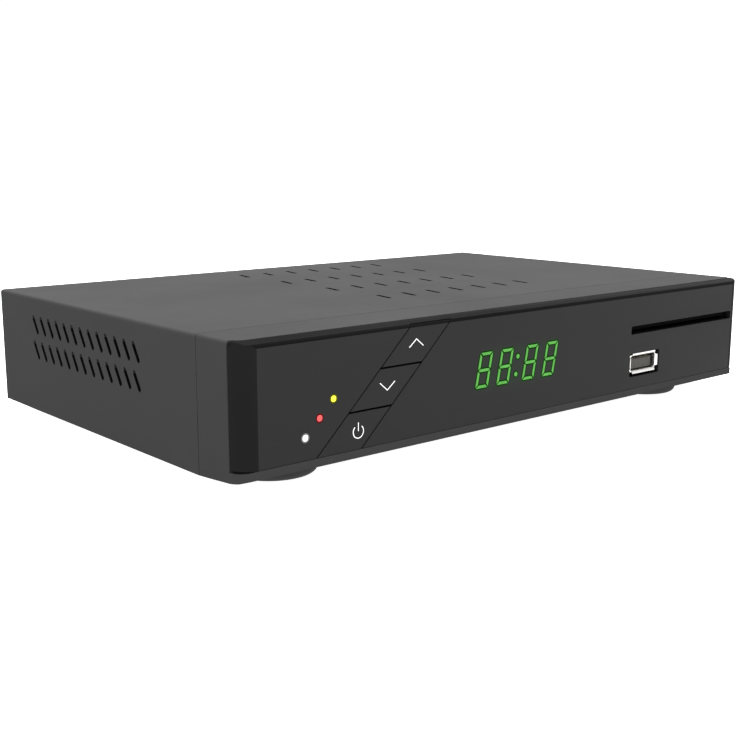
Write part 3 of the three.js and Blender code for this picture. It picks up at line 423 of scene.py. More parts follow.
def gridFaces(rows, columns, closeRows=False, closeColumns=False):
    # quads between neighbours of a rows x columns grid of points
    r = np.arange(rows if closeRows else rows - 1)[:, None]
    c = np.arange(columns if closeColumns else columns - 1)[None, :]
    r1, c1 = (r + 1) % rows, (c + 1) % columns
    corners = [r * columns + c, r * columns + c1, r1 * columns + c1, r1 * columns + c]
    return np.stack(np.broadcast_arrays(*corners), axis=-1).reshape(-1, 4)


def barFaces(rows):
    # four long sides and both ends of a bar, from rows of four corners
    last = 4 * (rows - 1)
    return gridFaces(rows, 4, closeColumns=True).tolist() + [[3, 2, 1, 0], [last, last + 1, last + 2, last + 3]]


def unit(steps):
    return steps / np.linalg.norm(steps, axis=1, keepdims=True)


def link(item):
    bpy.context.scene.collection.objects.link(item)


def placePiece(name, mesh, material, body, crease, replaced):
    mesh.shade_smooth()
    mesh.set_sharp_from_angle(angle=math.radians(crease))
    mesh.materials.append(materials[material])
    piece = bpy.data.objects.new(name, mesh)
    link(piece)
    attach(piece, body)
    if replaced:
        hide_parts(*replaced)
    return piece


def addPiece(name, parts, material, body="case", crease=35, replaced=()):
    # parts: (points, faces) pairs that become one mesh; doubles are merged and faces turned outwards
    points, faces, start = [], [], 0
    for partPoints, partFaces in parts:
        flat = np.asarray(partPoints, float).reshape(-1, 3)
        points.append(flat)
        faces.extend((np.asarray(f) + start).tolist() for f in partFaces)
        start += len(flat)
    mesh = bpy.data.meshes.new(name)
    mesh.from_pydata(np.concatenate(points), [], faces)
    work = bmesh.new()
    work.from_mesh(mesh)
    bmesh.ops.remove_doubles(work, verts=work.verts, dist=1e-7)
    bmesh.ops.recalc_face_normals(work, faces=work.faces)
    work.to_mesh(mesh)
    work.free()
    return placePiece(name, mesh, material, body, crease, replaced)


def softCopy(node, material, body="case", edge=0.15, crease=30, segments=2):
    # the CAD piece with welded corners, whole flat faces and a small rounded edge
    mesh = nodes[node].data.copy()
    mesh.materials.clear()
    work = bmesh.new()
    work.from_mesh(mesh)
    bmesh.ops.remove_doubles(work, verts=work.verts, dist=2e-6)
    bmesh.ops.dissolve_limit(work, angle_limit=math.radians(0.3), verts=work.verts, edges=work.edges)
    work.to_mesh(mesh)
    work.free()
    mesh.name = node + "_shown"
    piece = placePiece(mesh.name, mesh, material, body, crease, [node])
    if edge:
        rounding = piece.modifiers.new("edges", "BEVEL")
        rounding.width = edge * mm
        rounding.segments = segments
        rounding.limit_method = "ANGLE"
        rounding.angle_limit = math.radians(crease)
        rounding.harden_normals = True
    return piece


def filleted(points, radius, steps=5, closed=True):
    # each corner becomes a quadratic curve between two points set back along its edges
    p = np.asarray(points, float)
    before, after = np.roll(p, 1, axis=0) - p, np.roll(p, -1, axis=0) - p
    setBack = []
    for edge in (before, after):
        length = np.linalg.norm(edge, axis=1, keepdims=True)
        setBack.append(p + edge / length * np.minimum(radius, length / 2))
    t = np.linspace(0, 1, steps)[None, :, None]
    curve = (1 - t) ** 2 * setBack[0][:, None] + 2 * t * (1 - t) * p[:, None] + t ** 2 * setBack[1][:, None]
    if not closed:
        return np.concatenate([p[:1], curve[1:-1].reshape(-1, 2), p[-1:]])
    return curve.reshape(-1, 2)


def lathe(profile, centre, axis, segments, closed=False):
    # point(t, a) = centre + radius(t) * (cos a, sin a), height(t) along the axis
    profile = np.asarray(profile, float)
    angle = np.linspace(0, 2 * math.pi, segments, endpoint=False)
    radius, height = profile[:, :1], np.repeat(profile[:, 1:2], segments, axis=1)
    u, v = centre[0] + radius * np.cos(angle), centre[1] + radius * np.sin(angle)
    points = np.stack([u, v, height] if axis == "z" else [u, height, v], axis=-1)
    return points, gridFaces(len(profile), segments, closeRows=closed, closeColumns=True)


def ribbon(path, width, near, far):
    # a flat bar carried along a path in the front plane, mitred at its corners
    p = np.asarray(path, float)
    step = unit(np.diff(p, axis=0))
    side = np.stack([-step[:, 1], step[:, 0]], axis=-1)
    sides = unit(np.concatenate([side[:1], side[:-1] + side[1:], side[-1:]]))
    stretch = 1 / np.clip((sides * np.concatenate([side, side[-1:]])).sum(axis=1), 0.3, 1)
    reach = sides * (width / 2 * stretch)[:, None]
    left, right = p + reach, p - reach
    corners = ((left, near), (right, near), (right, far), (left, far))
    section = np.stack([onFront(line[:, 0], line[:, 1], depth) for line, depth in corners], axis=1)
    return section, barFaces(len(p))


def slab(outline, levels, toSpace):
    # an outline carried through levels of (inset, depth), closed at both ends
    p = np.asarray(outline, float)
    ahead, behind = np.roll(p, -1, axis=0) - p, p - np.roll(p, 1, axis=0)
    tangent = unit(unit(ahead) + unit(behind))
    outward = np.stack([tangent[:, 1], -tangent[:, 0]], axis=-1)
    area = 0.5 * (p[:, 0] * np.roll(p[:, 1], -1) - np.roll(p[:, 0], -1) * p[:, 1]).sum()
    outward *= np.sign(area)
    rings = [toSpace(*(p - outward * inset).T, depth) for inset, depth in levels]
    n = len(p)
    caps = [list(range(n))[::-1], list(range(n * (len(levels) - 1), n * len(levels)))]
    return np.stack(rings), gridFaces(len(levels), n, closeColumns=True).tolist() + caps


# Floor and sky

def makeFloor():
    reach = studio["floorReach"]
    u = np.linspace(-reach, reach, 3)
    x, y = np.meshgrid(u, u, indexing="ij")
    mesh = bpy.data.meshes.new("floor")
    mesh.from_pydata(inSpace(x, y, 0.0).reshape(-1, 3), [], gridFaces(3, 3)[:, ::-1].tolist())
    floor = bpy.data.objects.new("floor", mesh)
    material, tree, shader = newMaterial("paleFloor")
    seen = put(tree, "LightPath").outputs["Is Camera Ray"]
    tree.links.new(blendColours(tree, seen, 0.3, 0.6), shader.inputs["Base Color"])
    shader.inputs["Roughness"].default_value = 1.0
    shader.inputs["Specular IOR Level"].default_value = 0.0
    shader.inputs["Emission Color"].default_value = (1, 1, 1, 1)
    strength = spread(tree, seen, 0, 1, studio["floorLight"], studio["floorSeen"])
    tree.links.new(strength, shader.inputs["Emission Strength"])
    # seen from below the floor is clear
    mix = put(tree, "MixShader", {0: put(tree, "NewGeometry").outputs["Backfacing"], 1: shader.outputs[0],
                                  2: put(tree, "BsdfTransparent").outputs[0]})
    tree.links.new(mix.outputs[0], tree.nodes["Material Output"].inputs["Surface"])
    mesh.materials.append(material)
    link(floor)


def makeSky():
    world = bpy.data.worlds.new("studioSky")
    world.use_nodes = True
    bpy.context.scene.world = world
    tree = world.node_tree
    seen = put(tree, "LightPath").outputs["Is Camera Ray"]
    strength = spread(tree, seen, 0, 1, studio["skyLight"], studio["skySeen"])
    tree.links.new(strength, tree.nodes["Background"].inputs["Strength"])
    tree.nodes["Background"].inputs["Color"].default_value = (1, 1, 1, 1)


makeFloor()
makeSky()
print("studio made")


# Case: cover, bezel, fascia

def splitFinish(piece, *choices):
    # choices: (material, test) pairs; the faces that pass a test take its material
    mesh = piece.data
    centres = np.zeros(len(mesh.polygons) * 3)
    normals = np.zeros(len(mesh.polygons) * 3)
    mesh.polygons.foreach_get("center", centres)
    mesh.polygons.foreach_get("normal", normals)
    picked = np.zeros(len(mesh.polygons), np.int32)
    for number, (material, chosen) in enumerate(choices, 1):
        picked[chosen(centres.reshape(-1, 3), normals.reshape(-1, 3))] = number
        mesh.materials.append(materials[material])
    mesh.polygons.foreach_set("material_index", picked)


def frontFace(centres, normals):
    return (normals[:, 1] < -0.998) & (centres[:, 1] < frontPlane + 0.05 * mm)


# upward faces of the fascia and keys, which take the darker copy: painted shade
def upFacingShade(centres, normals):
    return normals[:, 2] > 0.15


def innerFace(centres, normals):
    # all but the flat outside of the cover, its bends and its edges at the front and the back
    caseRight, caseTop = -caseLeft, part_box("top_cover")[1].z
    flat = (np.abs(centres[:, 0]) > caseRight - 0.02 * mm) | (centres[:, 2] > caseTop - 0.02 * mm)
    bend = (normals[:, 2] > 0.05) & (normals[:, 0] * np.sign(centres[:, 0]) > 0.05)
    ends = np.abs(normals[:, 1]) > 0.999
    return ~(flat | bend | ends)


# the cover's inner faces and vent slot walls take the near-black finish: painted shade
coverPiece = softCopy("top_cover", "greyPaint", edge=0.0)
splitFinish(coverPiece, ("coverInside", innerFace))
softCopy("front_bezel", "greyPlastic", edge=0.12)
for node, body in (("front_fascia", "case"), ("power_button", "power_key"), ("down_button", "down_key"),
                   ("up_button", "up_key")):
    piece = softCopy(node, "fasciaPolished", body, edge=0.1)
    splitFinish(piece, ("fasciaSatin", frontFace), ("fasciaEdge", upFacingShade))
print("case, fascia and buttons made")


# Icons on the buttons

icons = {
    "width": 0.24,
    "proud": 0.03,              # height over the button's face
    "upMark": [(55.65, 29.95), (58.27, 32.1), (60.85, 30.0)],
    "downMark": [(45.05, 21.4), (47.67, 19.22), (50.38, 21.38)],
    "powerCentre": (37.45, 9.35),
    "powerRadius": 1.78,
    "powerGap": 42,             # half the opening of the ring, degrees
    "powerBar": (9.5, 11.85),
    "inkAndGlow": (0.72, 0.9),         # darker and lighter grey of the print, also the colour of its painted glow
}


def makeIcons():
    inkAndGlow = icons["inkAndGlow"]
    # the white print also glows with emission: painted light, the marks are no lamp
    makePrint("iconPrintGlow", inkAndGlow, inkAndGlow, (4000.0, 400.0), (0.4, 0.6), 0.5, 1.5)
    near, far = -icons["proud"], 0.02
    for name, body in (("upMark", "up_key"), ("downMark", "down_key")):
        addPiece(name, [ribbon(icons[name], icons["width"], near, far)], "iconPrintGlow", body)
    centre, radius = icons["powerCentre"], icons["powerRadius"]
    angle = np.radians(np.linspace(90 + icons["powerGap"], 450 - icons["powerGap"], 40))
    ring = np.stack([centre[0] + radius * np.cos(angle), centre[1] + radius * np.sin(angle)], axis=-1)
    bar = [(centre[0], z) for z in icons["powerBar"]]
    addPiece("powerMark", [ribbon(ring, icons["width"], near, far), ribbon(bar, icons["width"], near, far)],
             "iconPrintGlow", "power_key")


makeIcons()
print("icons made")


# Clock display

clock = {
    "digitLeft": (81.65, 90.55, 101.7, 110.8),   # lower left corner of each digit
    "base": 14.75,
    "height": 10.4,
    "width": 5.2,
    "slant": 0.2,
    "bar": 0.82,                # thickness of a segment
    "gap": 0.31,                # half the space between two segments
    "colon": ((99.75, 22.35), (99.0, 17.0)),
    "dot": 0.68,                # radius
    "rim": 0.42,                # dark edge round each segment
    "proud": 0.05,
    "lit": (0.105, 0.32, 0.065),
    "unlit": (0.002, 0.024, 0.001),
    "glass": ((0.02, 0.1, 0.02), (0.03, 0.14, 0.03)),   # the segments' own colour
}


def segmentShapes(grow):
    # seven bars of one upright digit: outer bars are trapezoids with mitred ends, the middle one is pointed
    w, h, b, g = clock["width"], clock["height"], clock["bar"], clock["gap"] - grow * 0.7
    m = h / 2
    top = [(g, h + grow), (w - g, h + grow), (w - b - g, h - b - grow), (b + g, h - b - grow)]
    upper = [(-grow, h - g), (b + grow, h - b - g), (b + grow, m + b / 2 + g), (-grow, m + g)]
    middle = [(g, m), (b / 2 + g, m + b / 2 + grow), (w - b / 2 - g, m + b / 2 + grow), (w - g, m)]
    middle += [(x, 2 * m - z) for x, z in reversed(middle[1:3])]
    flip = lambda shape: [(x, h - z) for x, z in shape]
    mirror = lambda shape: [(w - x, z) for x, z in shape]
    shapes = (top, flip(top), middle, upper, mirror(upper), flip(upper), flip(mirror(upper)))
    return [np.array(shape) for shape in shapes]


def slanted(points, left):
    # leans the upright digit and sets it on the fascia
    x = left + points[..., 0] + clock["slant"] * points[..., 1]
    return np.stack([x, clock["base"] + points[..., 1]], axis=-1)


def clockParts(grow, near, far):
    parts = []
    for left in clock["digitLeft"]:
        for shape in segmentShapes(grow):
            parts.append(slab(slanted(shape, left), [(0, far), (0, near)], onFront))
    angle = np.linspace(0, 2 * math.pi, 20, endpoint=False)
    for x, z in clock["colon"]:
        r = clock["dot"] + grow
        outline = np.stack([x + r * np.cos(angle), z + r * np.sin(angle)], axis=-1)
        parts.append(slab(outline, [(0, far), (0, near)], onFront))
    return parts


def makeClock():
    grain, rough = (2500.0, 500.0), (0.35, 0.5)
    bright = (clock["lit"], tuple(v * 1.25 for v in clock["lit"]))
    dark = (clock["unlit"], tuple(v * 1.4 for v in clock["unlit"]))
    makePrint("litSegment", bright, clock["glass"], grain, rough, 1.0, 1.05)
    makePrint("segmentRim", dark, dark, grain, rough, 0.5, 1.05)
    addPiece("clock_segments", clockParts(0, -clock["proud"], 0.02), "litSegment")
    addPiece("clock_segment_rims", clockParts(clock["rim"], -clock["proud"] / 2, 0.02), "segmentRim")


makeClock()
print("clock made")


# Signal lamps

signals = {
    "radius": 1.05,
    "sunk": 0.06,               # edge of the lens behind the fascia
    "dome": 0.12,
    "ring": (1.0, 1.3),         # dark ring round the lens, inner and outer radius
    "half": 0.02,               # the glow's mask: a point with a wide soft edge is nearly round
    "soft": 1.3,
    "edge": (0.25, 0.37),       # share of the mask where the glow fades out
    "yellow": {"place": (29.1, 19.5), "deep": (0.035, 0.035, 0.002), "bright": (0.78, 0.80, 0.05)},
    "red": {"place": (24.5, 15.0), "deep": (0.045, 0.003, 0.003), "bright": (0.66, 0.075, 0.075)},
    "white": {"place": (19.8, 10.5), "deep": (0.10, 0.10, 0.10), "bright": (1.0, 1.0, 1.0)},
}


def makeSignal(colourName):
    values = signals[colourName]
    x, z = values["place"]
    centre = (caseLeft + x * mm, caseFloor + z * mm)
    _, tree, shader = newMaterial(colourName + "Lamp")
    place = put(tree, "TexCoord").outputs["Object"]
    spot = useGroup(tree, glowGroup, {"Vector": place, "Centre X": centre[0], "Centre Z": centre[1],
                                      "Half Width": signals["half"] * mm, "Half Height": signals["half"] * mm,
                                      "Soft": signals["soft"] * mm})
    lit = spread(tree, spot["Mask"], *signals["edge"], 0, 1)
    colour = blendColours(tree, lit, values["deep"], values["bright"])
    tree.links.new(colour, shader.inputs["Base Color"])
    tree.links.new(colour, shader.inputs["Emission Color"])
    shader.inputs["Emission Strength"].default_value = 0.9
    shader.inputs["IOR"].default_value = 1.1
    tree.links.new(spread(tree, spot["Mask"], 0, 1, 0.3, 0.2), shader.inputs["Roughness"])
    radius, rise = signals["radius"], signals["dome"]
    lift = np.linspace(0, math.pi / 2, 14)[:, None]
    dome = np.concatenate([radius * np.sin(lift), -rise * np.cos(lift)], axis=1) * mm
    dome[:, 1] += frontPlane + signals["sunk"] * mm
    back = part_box(colourName + "_light_pipe")[1].y
    profile = np.concatenate([dome, [[radius * mm, back], [0, back]]])
    face = frontPlane / mm
    ring = np.array(rectangle(*signals["ring"], face - 0.02, face + 0.02)) * mm
    addPiece(colourName + "_lens", [lathe(profile, centre, "y", 48), lathe(ring, centre, "y", 48, closed=True)],
             colourName + "Lamp", replaced=[colourName + "_light_pipe"])


for colourName in ("yellow", "red", "white"):
    makeSignal(colourName)
print("signal lamps made")


# Feet

feet = {
    "radius": 12.9,
    "edge": 1.9,
    "cup": 4.6,                 # radius of the screw's cup
    "cupDepth": 2.0,
    "hole": 1.8,
    "grooves": (7.0, 8.9),      # inner radius of each groove
    "groove": 0.35,             # their depth
}


def makeFoot(node):
    low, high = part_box(node)
    centre = ((low.x + high.x) / 2, (low.y + high.y) / 2)
    top = (high.z - low.z) / mm
    r, e, c, g = feet["radius"], feet["edge"], feet["cup"], feet["groove"]
    hole, deep = feet["hole"], feet["cupDepth"]
    turn = np.radians(np.linspace(-90, -5, 12))
    edge = np.stack([r - e + e * np.cos(turn), e + e * np.sin(turn)], axis=-1)
    rings = [(start + out, depth) for start in feet["grooves"]
             for out, depth in ((0, 0), (0.15, g), (0.6, g), (0.75, 0))]
    upper = [(r, top - 0.5), (r - 0.15, top - 0.15), (r - 0.5, top), (hole, top), (hole, deep), (c, deep)]
    profile = np.concatenate([[(c, deep), (c, 0.3), (c + 0.3, 0)], rings, edge, upper]) * mm
    profile[:, 1] += low.z
    addPiece(node + "_rubber", [lathe(profile, centre, "z", 128)], "footRubber",
             crease=40, replaced=[node])


for node in sorted(n for n in nodes if n.startswith("foot_") and "screw" not in n):
    makeFoot(node)
print("feet made")


# Front socket

frontSocket = {
    "skin": 0.45,
    "corner": 1.0,
    "mouth": 0.6,               # the tube's front edge behind the tips of the lips
    "lipUp": 0.5,               # how far the upper and lower lips lean out
    "lipSide": 0.4,
    "lipEnd": 0.75,             # what the lips leave free at each corner
    "tongue": (-5.9, 5.9, -2.3, 1.45),
    "tongueDepth": (1.5, 13.0),
    "block": (-5.9, 5.9, -2.2, 2.2),
    "contacts": (-3.5, -1.0, 1.0, 3.5),
}


def makeFrontSocket():
    v = frontSocket
    low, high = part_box("front_usb_shell")
    middle = (low + high) / 2
    w = (high.x - low.x) / 2 / mm - v["lipSide"]
    h = (high.z - low.z) / 2 / mm - v["lipUp"]
    length = (high.y - low.y) / mm

    def toSpace(x, z, depth):
        return inSpace(middle.x + x * mm, low.y + np.asarray(depth) * mm, middle.z + z * mm)

    skin, mouth = v["skin"], v["mouth"]
    outer = filleted(rectangle(-w, w, -h, h), v["corner"], 6)
    inner = outer * np.array([(w - skin) / w, (h - skin) / h])
    edges = ((outer, mouth), (outer, length), (inner, length), (inner, mouth))
    tube = np.stack([toSpace(*edge.T, depth) for edge, depth in edges])
    parts = [(tube, gridFaces(4, len(outer), closeRows=True, closeColumns=True))]
    # lip: a quarter turn from the tube's inner wall to a flat rim,
    # out(t) = reach (1 - cos t), depth(t) = fall (1 - sin t)
    t = np.linspace(0, math.pi / 2, 14)
    fall = mouth * 1.2
    lips = ((v["lipUp"], h, w - v["lipEnd"], True), (v["lipSide"], w, h - v["lipEnd"], False))
    for reach, far, half, upright in lips:
        face = np.stack([(reach + skin) * (1 - np.cos(t)) - skin, fall * (1 - np.sin(t))], axis=-1)
        back = face + np.stack([skin * np.cos(t), skin * 0.7 * np.sin(t)], axis=-1)
        ends = half - 0.3 * np.sin(t)
        for side in (-1, 1):
            ring = [(face, -ends), (face, ends), (back, ends), (back, -ends)]
            columns = [toSpace(along, side * (far + line[:, 0]), line[:, 1]) if upright
                       else toSpace(side * (far + line[:, 0]), along, line[:, 1]) for line, along in ring]
            parts.append((np.stack(columns, axis=1), barFaces(len(t))))
    addPiece("front_socket_shell", parts, "brightNickel",
             replaced=["front_usb_shell"])

    start, end = v["tongueDepth"]
    top = v["tongue"][3]
    outline = filleted(rectangle(*v["tongue"]), 0.35, 5)
    tongue = slab(outline, [(0.3, start), (0, start + 0.35), (0, end)], toSpace)
    block = slab(filleted(rectangle(*v["block"]), 0.4, 4), [(0, end - 1.0), (0, length - 0.4)], toSpace)
    addPiece("front_socket_tongue", [tongue, block], "socketTongue",
             replaced=["front_usb_tongue"])
    levels = [(0, start + 0.6), (0, end - 1.2)]
    strips = [slab(rectangle(x - 0.5, x + 0.5, top - 0.1, top + 0.04), levels, toSpace) for x in v["contacts"]]
    addPiece("front_socket_contacts", strips, "goldPlate")


makeFrontSocket()
print("front socket made")


# Screws

screws = {
    "arm": 0.62,                # reach of the cross, share of the head's radius
    "slot": 0.14,               # half width of the cross, share of the head's radius
    "sink": 0.75,               # depth of the cross, share of the head's height
    "thick": 1.5,
    "soft": 0.06,               # width of the cross's sloping wall, share of the head's radius
}


def crossHead(node, axis, side):
    # height(r, a) = low dome minus a cross-shaped pit with soft walls
    low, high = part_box(node)
    middle = (low + high) / 2
    across = (high.x - low.x) / 2
    tip = high.y if axis == "y" else low.z
    thick = screws["thick"] * mm
    r = np.linspace(0, 1, 34)[:, None]
    a = np.linspace(0, 2 * math.pi, 96, endpoint=False)[None, :]
    x, y = np.abs(r * np.cos(a)), np.abs(r * np.sin(a))

    def inside(value, limit):
        return np.clip((limit - value) / screws["soft"] + 0.5, 0, 1)

    pit = np.maximum(inside(x, screws["slot"]) * inside(y, screws["arm"]),
                     inside(y, screws["slot"]) * inside(x, screws["arm"]))
    dome = 1 - 0.35 * r ** 2 - 0.25 * np.clip((r - 0.85) / 0.15, 0, 1) ** 2
    height = thick * (dome - screws["sink"] * pit * (1 - 0.3 * r))
    radius = np.repeat(r * across, a.size, axis=1)
    radius = np.concatenate([radius, radius[-1:], radius[:1]])
    height = np.concatenate([height, 0 * height[-1:], 0 * height[:1]])
    u, v = radius * np.cos(a), radius * np.sin(a)
    face = tip - side * thick
    if axis == "y":
        points = np.stack([middle.x + u, face + side * height, middle.z + v], axis=-1)
    else:
        points = np.stack([middle.x + u, middle.y + v, face + side * height], axis=-1)
    addPiece(node + "_head", [(points, gridFaces(len(radius), 96, closeColumns=True))],
             "plainSteel", crease=40, replaced=[node])


for name in sorted(nodes):
    if name.startswith("cover_screw"):
        crossHead(name, "y", 1)
    if name.startswith("foot_screw"):
        crossHead(name, "z", -1)
print("screws made")


# Rear sockets

aerial = {
    "root": 4.7,
    "thread": 4.75,
    "threadDepth": 0.32,
    "pitch": 1.1,
    "hexRadius": 6.2,           # the nut's corners
    "nutFace": 5.45,            # radius of the nut's flat ends
    "nutHalf": 1.0,             # half the nut's thickness
    "insulator": 3.45,
    "bore": 0.8,
    "segments": 72,
}


def makeAerial(node):
    low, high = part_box(node)
    centre = ((low.x + high.x) / 2, (low.z + high.z) / 2)
    v = aerial
    tip, start = high.y, rearEdge + 1.4 * mm
    segments, wide = v["segments"], v["hexRadius"] + 0.1
    level = lambda values: np.repeat(np.array(values)[:, None], segments, axis=1)
    # thread: radius(y, a) follows a wave whose phase runs on with the turn, fading at both ends
    y = np.linspace(start, tip - 0.35 * mm, 110)[:, None]
    a = np.linspace(0, 2 * math.pi, segments, endpoint=False)[None, :]
    wave = 0.5 - 0.5 * np.cos(2 * math.pi * (y / mm / v["pitch"]) - a)
    fade = np.clip((y - start) / (0.5 * mm), 0, 1) * np.clip((tip - 0.35 * mm - y) / (0.5 * mm), 0, 1)
    thread = (v["thread"] - v["threadDepth"] * (wave * fade + 1 - fade)) * mm
    root, inner, rim = v["root"] * mm, v["insulator"] * mm, (v["insulator"] + 0.75) * mm
    radius = np.concatenate([level([0, root, root]), thread, level([rim, inner, inner, 0])])
    height = np.concatenate([level([low.y, low.y, start]), level(y[:, 0]),
                             level([tip, tip, tip - 1.2 * mm, tip - 1.2 * mm])])
    barrel = np.stack([centre[0] + radius * np.cos(a), height, centre[1] + radius * np.sin(a)], axis=-1)
    # nut: radius(y, a) is the hexagon cut by a chamfer cone
    apothem = v["hexRadius"] * math.cos(math.pi / 6) * mm
    hexagon = apothem / np.cos((a + math.pi / 6) % (math.pi / 3) - math.pi / 6)
    nutLow, nutHigh = rearEdge - v["nutHalf"] * mm, rearEdge + v["nutHalf"] * mm
    nutRows = [(0, nutLow), (v["nutFace"], nutLow), (wide, nutLow + 0.3 * mm),
               (wide, nutHigh - 0.3 * mm), (v["nutFace"], nutHigh), (0, nutHigh)]
    nut = np.stack([np.minimum(hexagon[0], r * mm) for r, _ in nutRows])
    nutHeight = np.array([[h] for _, h in nutRows]) + 0 * nut
    nutPoints = np.stack([centre[0] + nut * np.cos(a), nutHeight, centre[1] + nut * np.sin(a)], axis=-1)
    addPiece(node + "_barrel", [(barrel, gridFaces(len(radius), segments, closeColumns=True)),
                                (nutPoints, gridFaces(len(nutRows), segments, closeColumns=True))],
             "platedNickel", replaced=[node])
    bore, outer = v["bore"], v["insulator"] - 0.02
    profile = np.array([(bore, -4.0), (bore, -0.55), (bore + 0.35, -0.35), (outer, -0.35), (outer, -1.15),
                        (bore + 0.9, -1.15), (bore + 0.9, -4.0)]) * mm
    profile[:, 1] += tip
    addPiece(node + "_insulator", [lathe(profile, centre, "y", 48)], "whitePlastic")


for name in ("aerial_socket", "aerial_loop_socket"):
    makeAerial(name)

jacks = {
    "places": (124, 134, 144),
    "colours": ("yellowPlastic", "whitePlastic", "redPlastic"),
    "height": 17.0,
    "sleeve": 4.15,
    "wall": 0.4,
    "reach": 8.0,
    "bore": 1.6,
    "collar": 5.1,
}


def makeJacks():
    v = jacks
    low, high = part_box("audio_video_sockets")
    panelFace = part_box("rear_panel")[1].y

    def toSpace(x, z, depth):
        return inSpace(x * mm, depth, z * mm)

    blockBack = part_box("rear_panel")[0].y - 0.15 * mm
    outline = filleted(np.array(rectangle(low.x, high.x, low.z, high.z)) / mm, 0.5, 4)
    levels = [(0.3, low.y), (0, low.y + 0.3 * mm), (0, blockBack - 0.3 * mm), (0.3, blockBack)]
    addPiece("jack_block", [slab(outline, levels, toSpace)], "darkPlastic",
             replaced=["audio_video_sockets"])
    back, end, base = blockBack / mm, rearEdge / mm + v["reach"], panelFace / mm
    s, w, bore, wide = v["sleeve"], v["wall"], v["bore"], v["collar"]
    face, inside = end - 0.35, s - w - 0.02
    sleeve = filleted([(0, back), (s, back), (s, end), (s - w, end), (s - w, end - 1.2), (0, end - 1.2)],
                      0.15, 4, closed=False) * mm
    core = filleted([(0, face - 3.4), (bore, face - 3.4), (bore, face), (inside, face), (inside, face - 0.9),
                     (bore + 0.8, face - 0.9), (bore + 0.8, face - 3.6), (0, face - 3.6)],
                    0.12, 3, closed=False) * mm
    collar = filleted([(s - 0.1, base - 0.5), (s - 0.1, base + 1.5), (s + 0.35, base + 1.5), (wide, base + 0.7),
                       (wide, base + 0.05), (s + 0.4, base + 0.02), (s + 0.4, base - 0.5)], 0.15, 3) * mm
    for x, colour in zip(v["places"], v["colours"]):
        centre = (caseLeft + x * mm, caseFloor + v["height"] * mm)
        addPiece("jack_sleeve_" + colour, [lathe(sleeve, centre, "y", 72)], "platedNickel")
        parts = [lathe(core, centre, "y", 72), lathe(collar, centre, "y", 72, closed=True)]
        addPiece("jack_core_" + colour, parts, colour)


makeJacks()


def fromRear(middle, face, base):
    # depth runs inwards from a socket's rear face
    return lambda x, z, depth: inSpace(middle + x * mm, face - np.asarray(depth) * mm, base + z * mm)


networkPort = {
    "cavity": (-5.9, 5.9, 13.6, 21.6),
    "latch": (-3.2, 3.2, 11.6),
    "depth": 12.4,
    "wire": 0.35,
    "pitch": 1.02,
}


def makeNetworkPort():
    v = networkPort
    softCopy("network_socket", "platedNickel")
    low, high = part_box("network_socket")
    toSpace = fromRear((low.x + high.x) / 2, high.y, caseFloor)
    left, right, base, top = v["cavity"]
    latchLeft, latchRight, latchBase = v["latch"]
    outline = [(left, base), (latchLeft, base), (latchLeft, latchBase), (latchRight, latchBase),
               (latchRight, base), (right, base), (right, top), (left, top)]
    liner = slab(outline, [(0.45, v["depth"] - 0.4), (0.45, 0.5), (0.05, 0.5), (0.05, v["depth"])], toSpace)
    addPiece("network_socket_liner", [liner], "darkPlastic", crease=20)
    wire = v["wire"]
    line = [(3.0, top - 0.7), (10.5, top - 3.6), (10.5, top - 3.6 - wire), (2.9, top - 0.7 - wire)]
    places = [(i - 3.5) * v["pitch"] for i in range(8)]
    wires = [slab(line, [(0, x - wire / 2), (0, x + wire / 2)], lambda depth, z, side: toSpace(side, z, depth))
             for x in places]
    addPiece("network_socket_wires", wires, "goldPlate")


makeNetworkPort()

videoPort = {
    "tongue": (-5.2, 5.2, 2.45, 3.75),
    "depth": (1.0, 10.4),
    "contacts": 9,
    "spread": 4.4,              # the outermost contact from the middle
}


def makeVideoPort():
    v = videoPort
    softCopy("video_socket", "platedNickel", edge=0.1)
    low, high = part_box("video_socket")
    toSpace = fromRear((low.x + high.x) / 2, high.y, low.z)
    left, right, base, top = v["tongue"]
    start, end = v["depth"]
    bar = filleted(rectangle(left, right, base, top), 0.2, 4)
    addPiece("video_socket_tongue", [slab(bar, [(0.2, start - 0.3), (0, start), (0, end)], toSpace)],
             "darkPlastic")
    places = np.linspace(-v["spread"], v["spread"], v["contacts"])
    strips = [slab(rectangle(x - 0.2, x + 0.2, base - 0.05, top + 0.05), [(0, start + 0.3), (0, end)], toSpace)
              for x in places]
    addPiece("video_socket_contacts", strips, "goldPlate")


makeVideoPort()
print("rear sockets made")


# Mains inlet and rocker

inletPins = {
    "spacing": 8.6,
    "radius": 1.25,
    "depth": 12.0,
    "reach": 2.9,               # the tips behind the inlet's rear face
    "height": 17.0,
    "place": 24.0,
}


def makeInlet():
    v = inletPins
    softCopy("mains_inlet", "darkPlastic", edge=0.25)
    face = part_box("mains_inlet")[1].y / mm
    turn = np.linspace(0, math.pi / 2, 8)
    r, back = v["radius"], face - v["depth"]
    for side, label in ((-1, "left"), (1, "right")):
        centre = (caseLeft + (v["place"] + side * v["spacing"] / 2) * mm, caseFloor + v["height"] * mm)
        tip = np.stack([r * np.cos(turn), face - v["reach"] - r + r * np.sin(turn)], axis=-1)
        profile = np.concatenate([[(0, back), (r, back)], tip, [(0, tip[-1, 1])]]) * mm
        addPiece("mains_pin_" + label, [lathe(profile, centre, "y", 40)], "platedNickel")


makeInlet()

rockerMarks = {
    "line": 0.55,
    "size": 1.5,
    "lift": 4.6,                # from the hinge up or down to a mark's middle
    "sunk": -0.05,
    "proud": 0.05,
    "tip": 7.0,                 # the rocker's lean in the frame, degrees
    "waist": 3.4,               # from the hinge to the face at the middle
    "slope": 1.2 / 7.8,
}


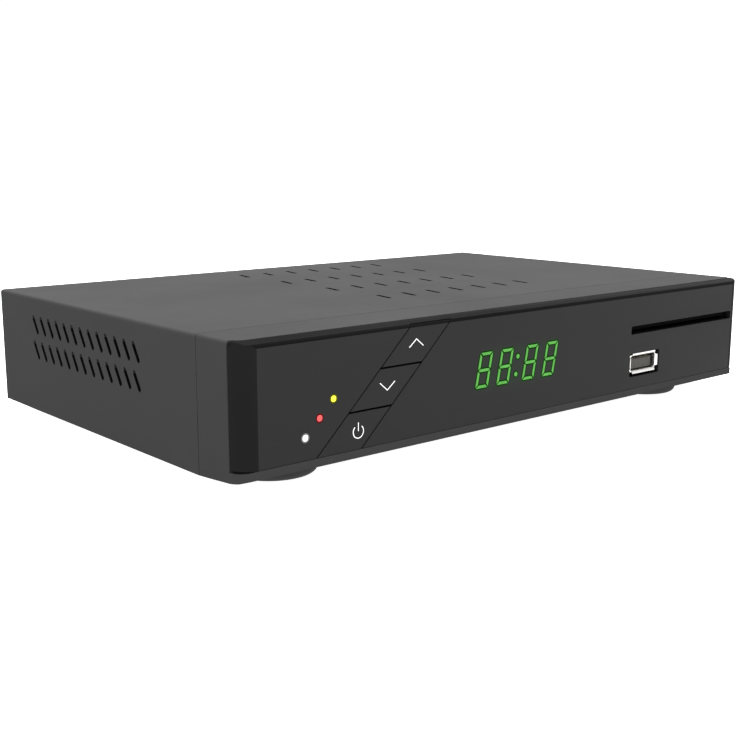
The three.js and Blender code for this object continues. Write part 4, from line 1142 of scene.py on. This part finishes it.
def makeRocker():
    v = rockerMarks
    softCopy("rocker_housing", "darkPlastic", edge=0.25)
    softCopy("power_rocker", "darkPlastic", "rocker", edge=0.35, segments=3)
    joint = next(j for j in frame["joints"] if j["name"] == "rocker_tip")
    px, py, pz = joint["pos_m"]
    tip = math.radians(v["tip"])

    def onRocker(x, z, depth):
        # the faces rise from the waist to the ends of the rocker
        y = v["waist"] + v["slope"] * np.abs(z) + depth
        return inSpace(px + x * mm, py + (y * math.cos(tip) - z * math.sin(tip)) * mm,
                       pz + (y * math.sin(tip) + z * math.cos(tip)) * mm)

    half = v["line"] / 2
    bar = rectangle(-half, half, v["lift"] - v["size"], v["lift"] + v["size"])
    angle = np.linspace(0, 2 * math.pi, 40, endpoint=False)
    corners = rectangle(v["size"] - half, v["size"] + half, v["sunk"], v["proud"])
    ring = [onRocker(r * np.cos(angle), -v["lift"] + r * np.sin(angle), depth) for r, depth in corners]
    # the rocker's marks take the glowing print: painted light
    addPiece("rocker_marks", [slab(bar, [(0, v["sunk"]), (0, v["proud"])], onRocker),
                              (np.stack(ring), gridFaces(4, 40, closeRows=True, closeColumns=True))],
             "iconPrintGlow", "rocker")


makeRocker()
print("mains inlet and rocker made")


# Finishes of the pieces that keep their CAD shape

slotFinish = {
    "grey_paint": "greyPaint", "grey_plastic": "greyPlastic", "black_fascia": "fasciaPolished",
    "foot_rubber": "footRubber", "plain_steel": "plainSteel", "bright_nickel": "platedNickel",
    "bare_aluminium": "bareAluminium", "dark_plastic": "darkPlastic", "green_board": "greenBoard",
    "cable_grey": "cableGrey", "capacitor_sleeve": "capacitorSleeve", "winding_tape": "windingTape",
    "red_lens": "darkPlastic", "yellow_lens": "darkPlastic", "white_lens": "cableGrey",
    "display_face": "darkPlastic",
}
slotOfNode = {part["node"]: part["material_slot"] for part in frame["record"]["subparts"]}
# the card reader seen through its slot takes the near-black finish: painted shade in the recess
nodeFinish = {"card_reader": "coverInside"}
for name, node in nodes.items():
    chosen = materials[nodeFinish.get(name, slotFinish[slotOfNode.get(name, "dark_plastic")])]
    node.data.materials.clear()
    node.data.materials.append(chosen)
print("CAD pieces finished")
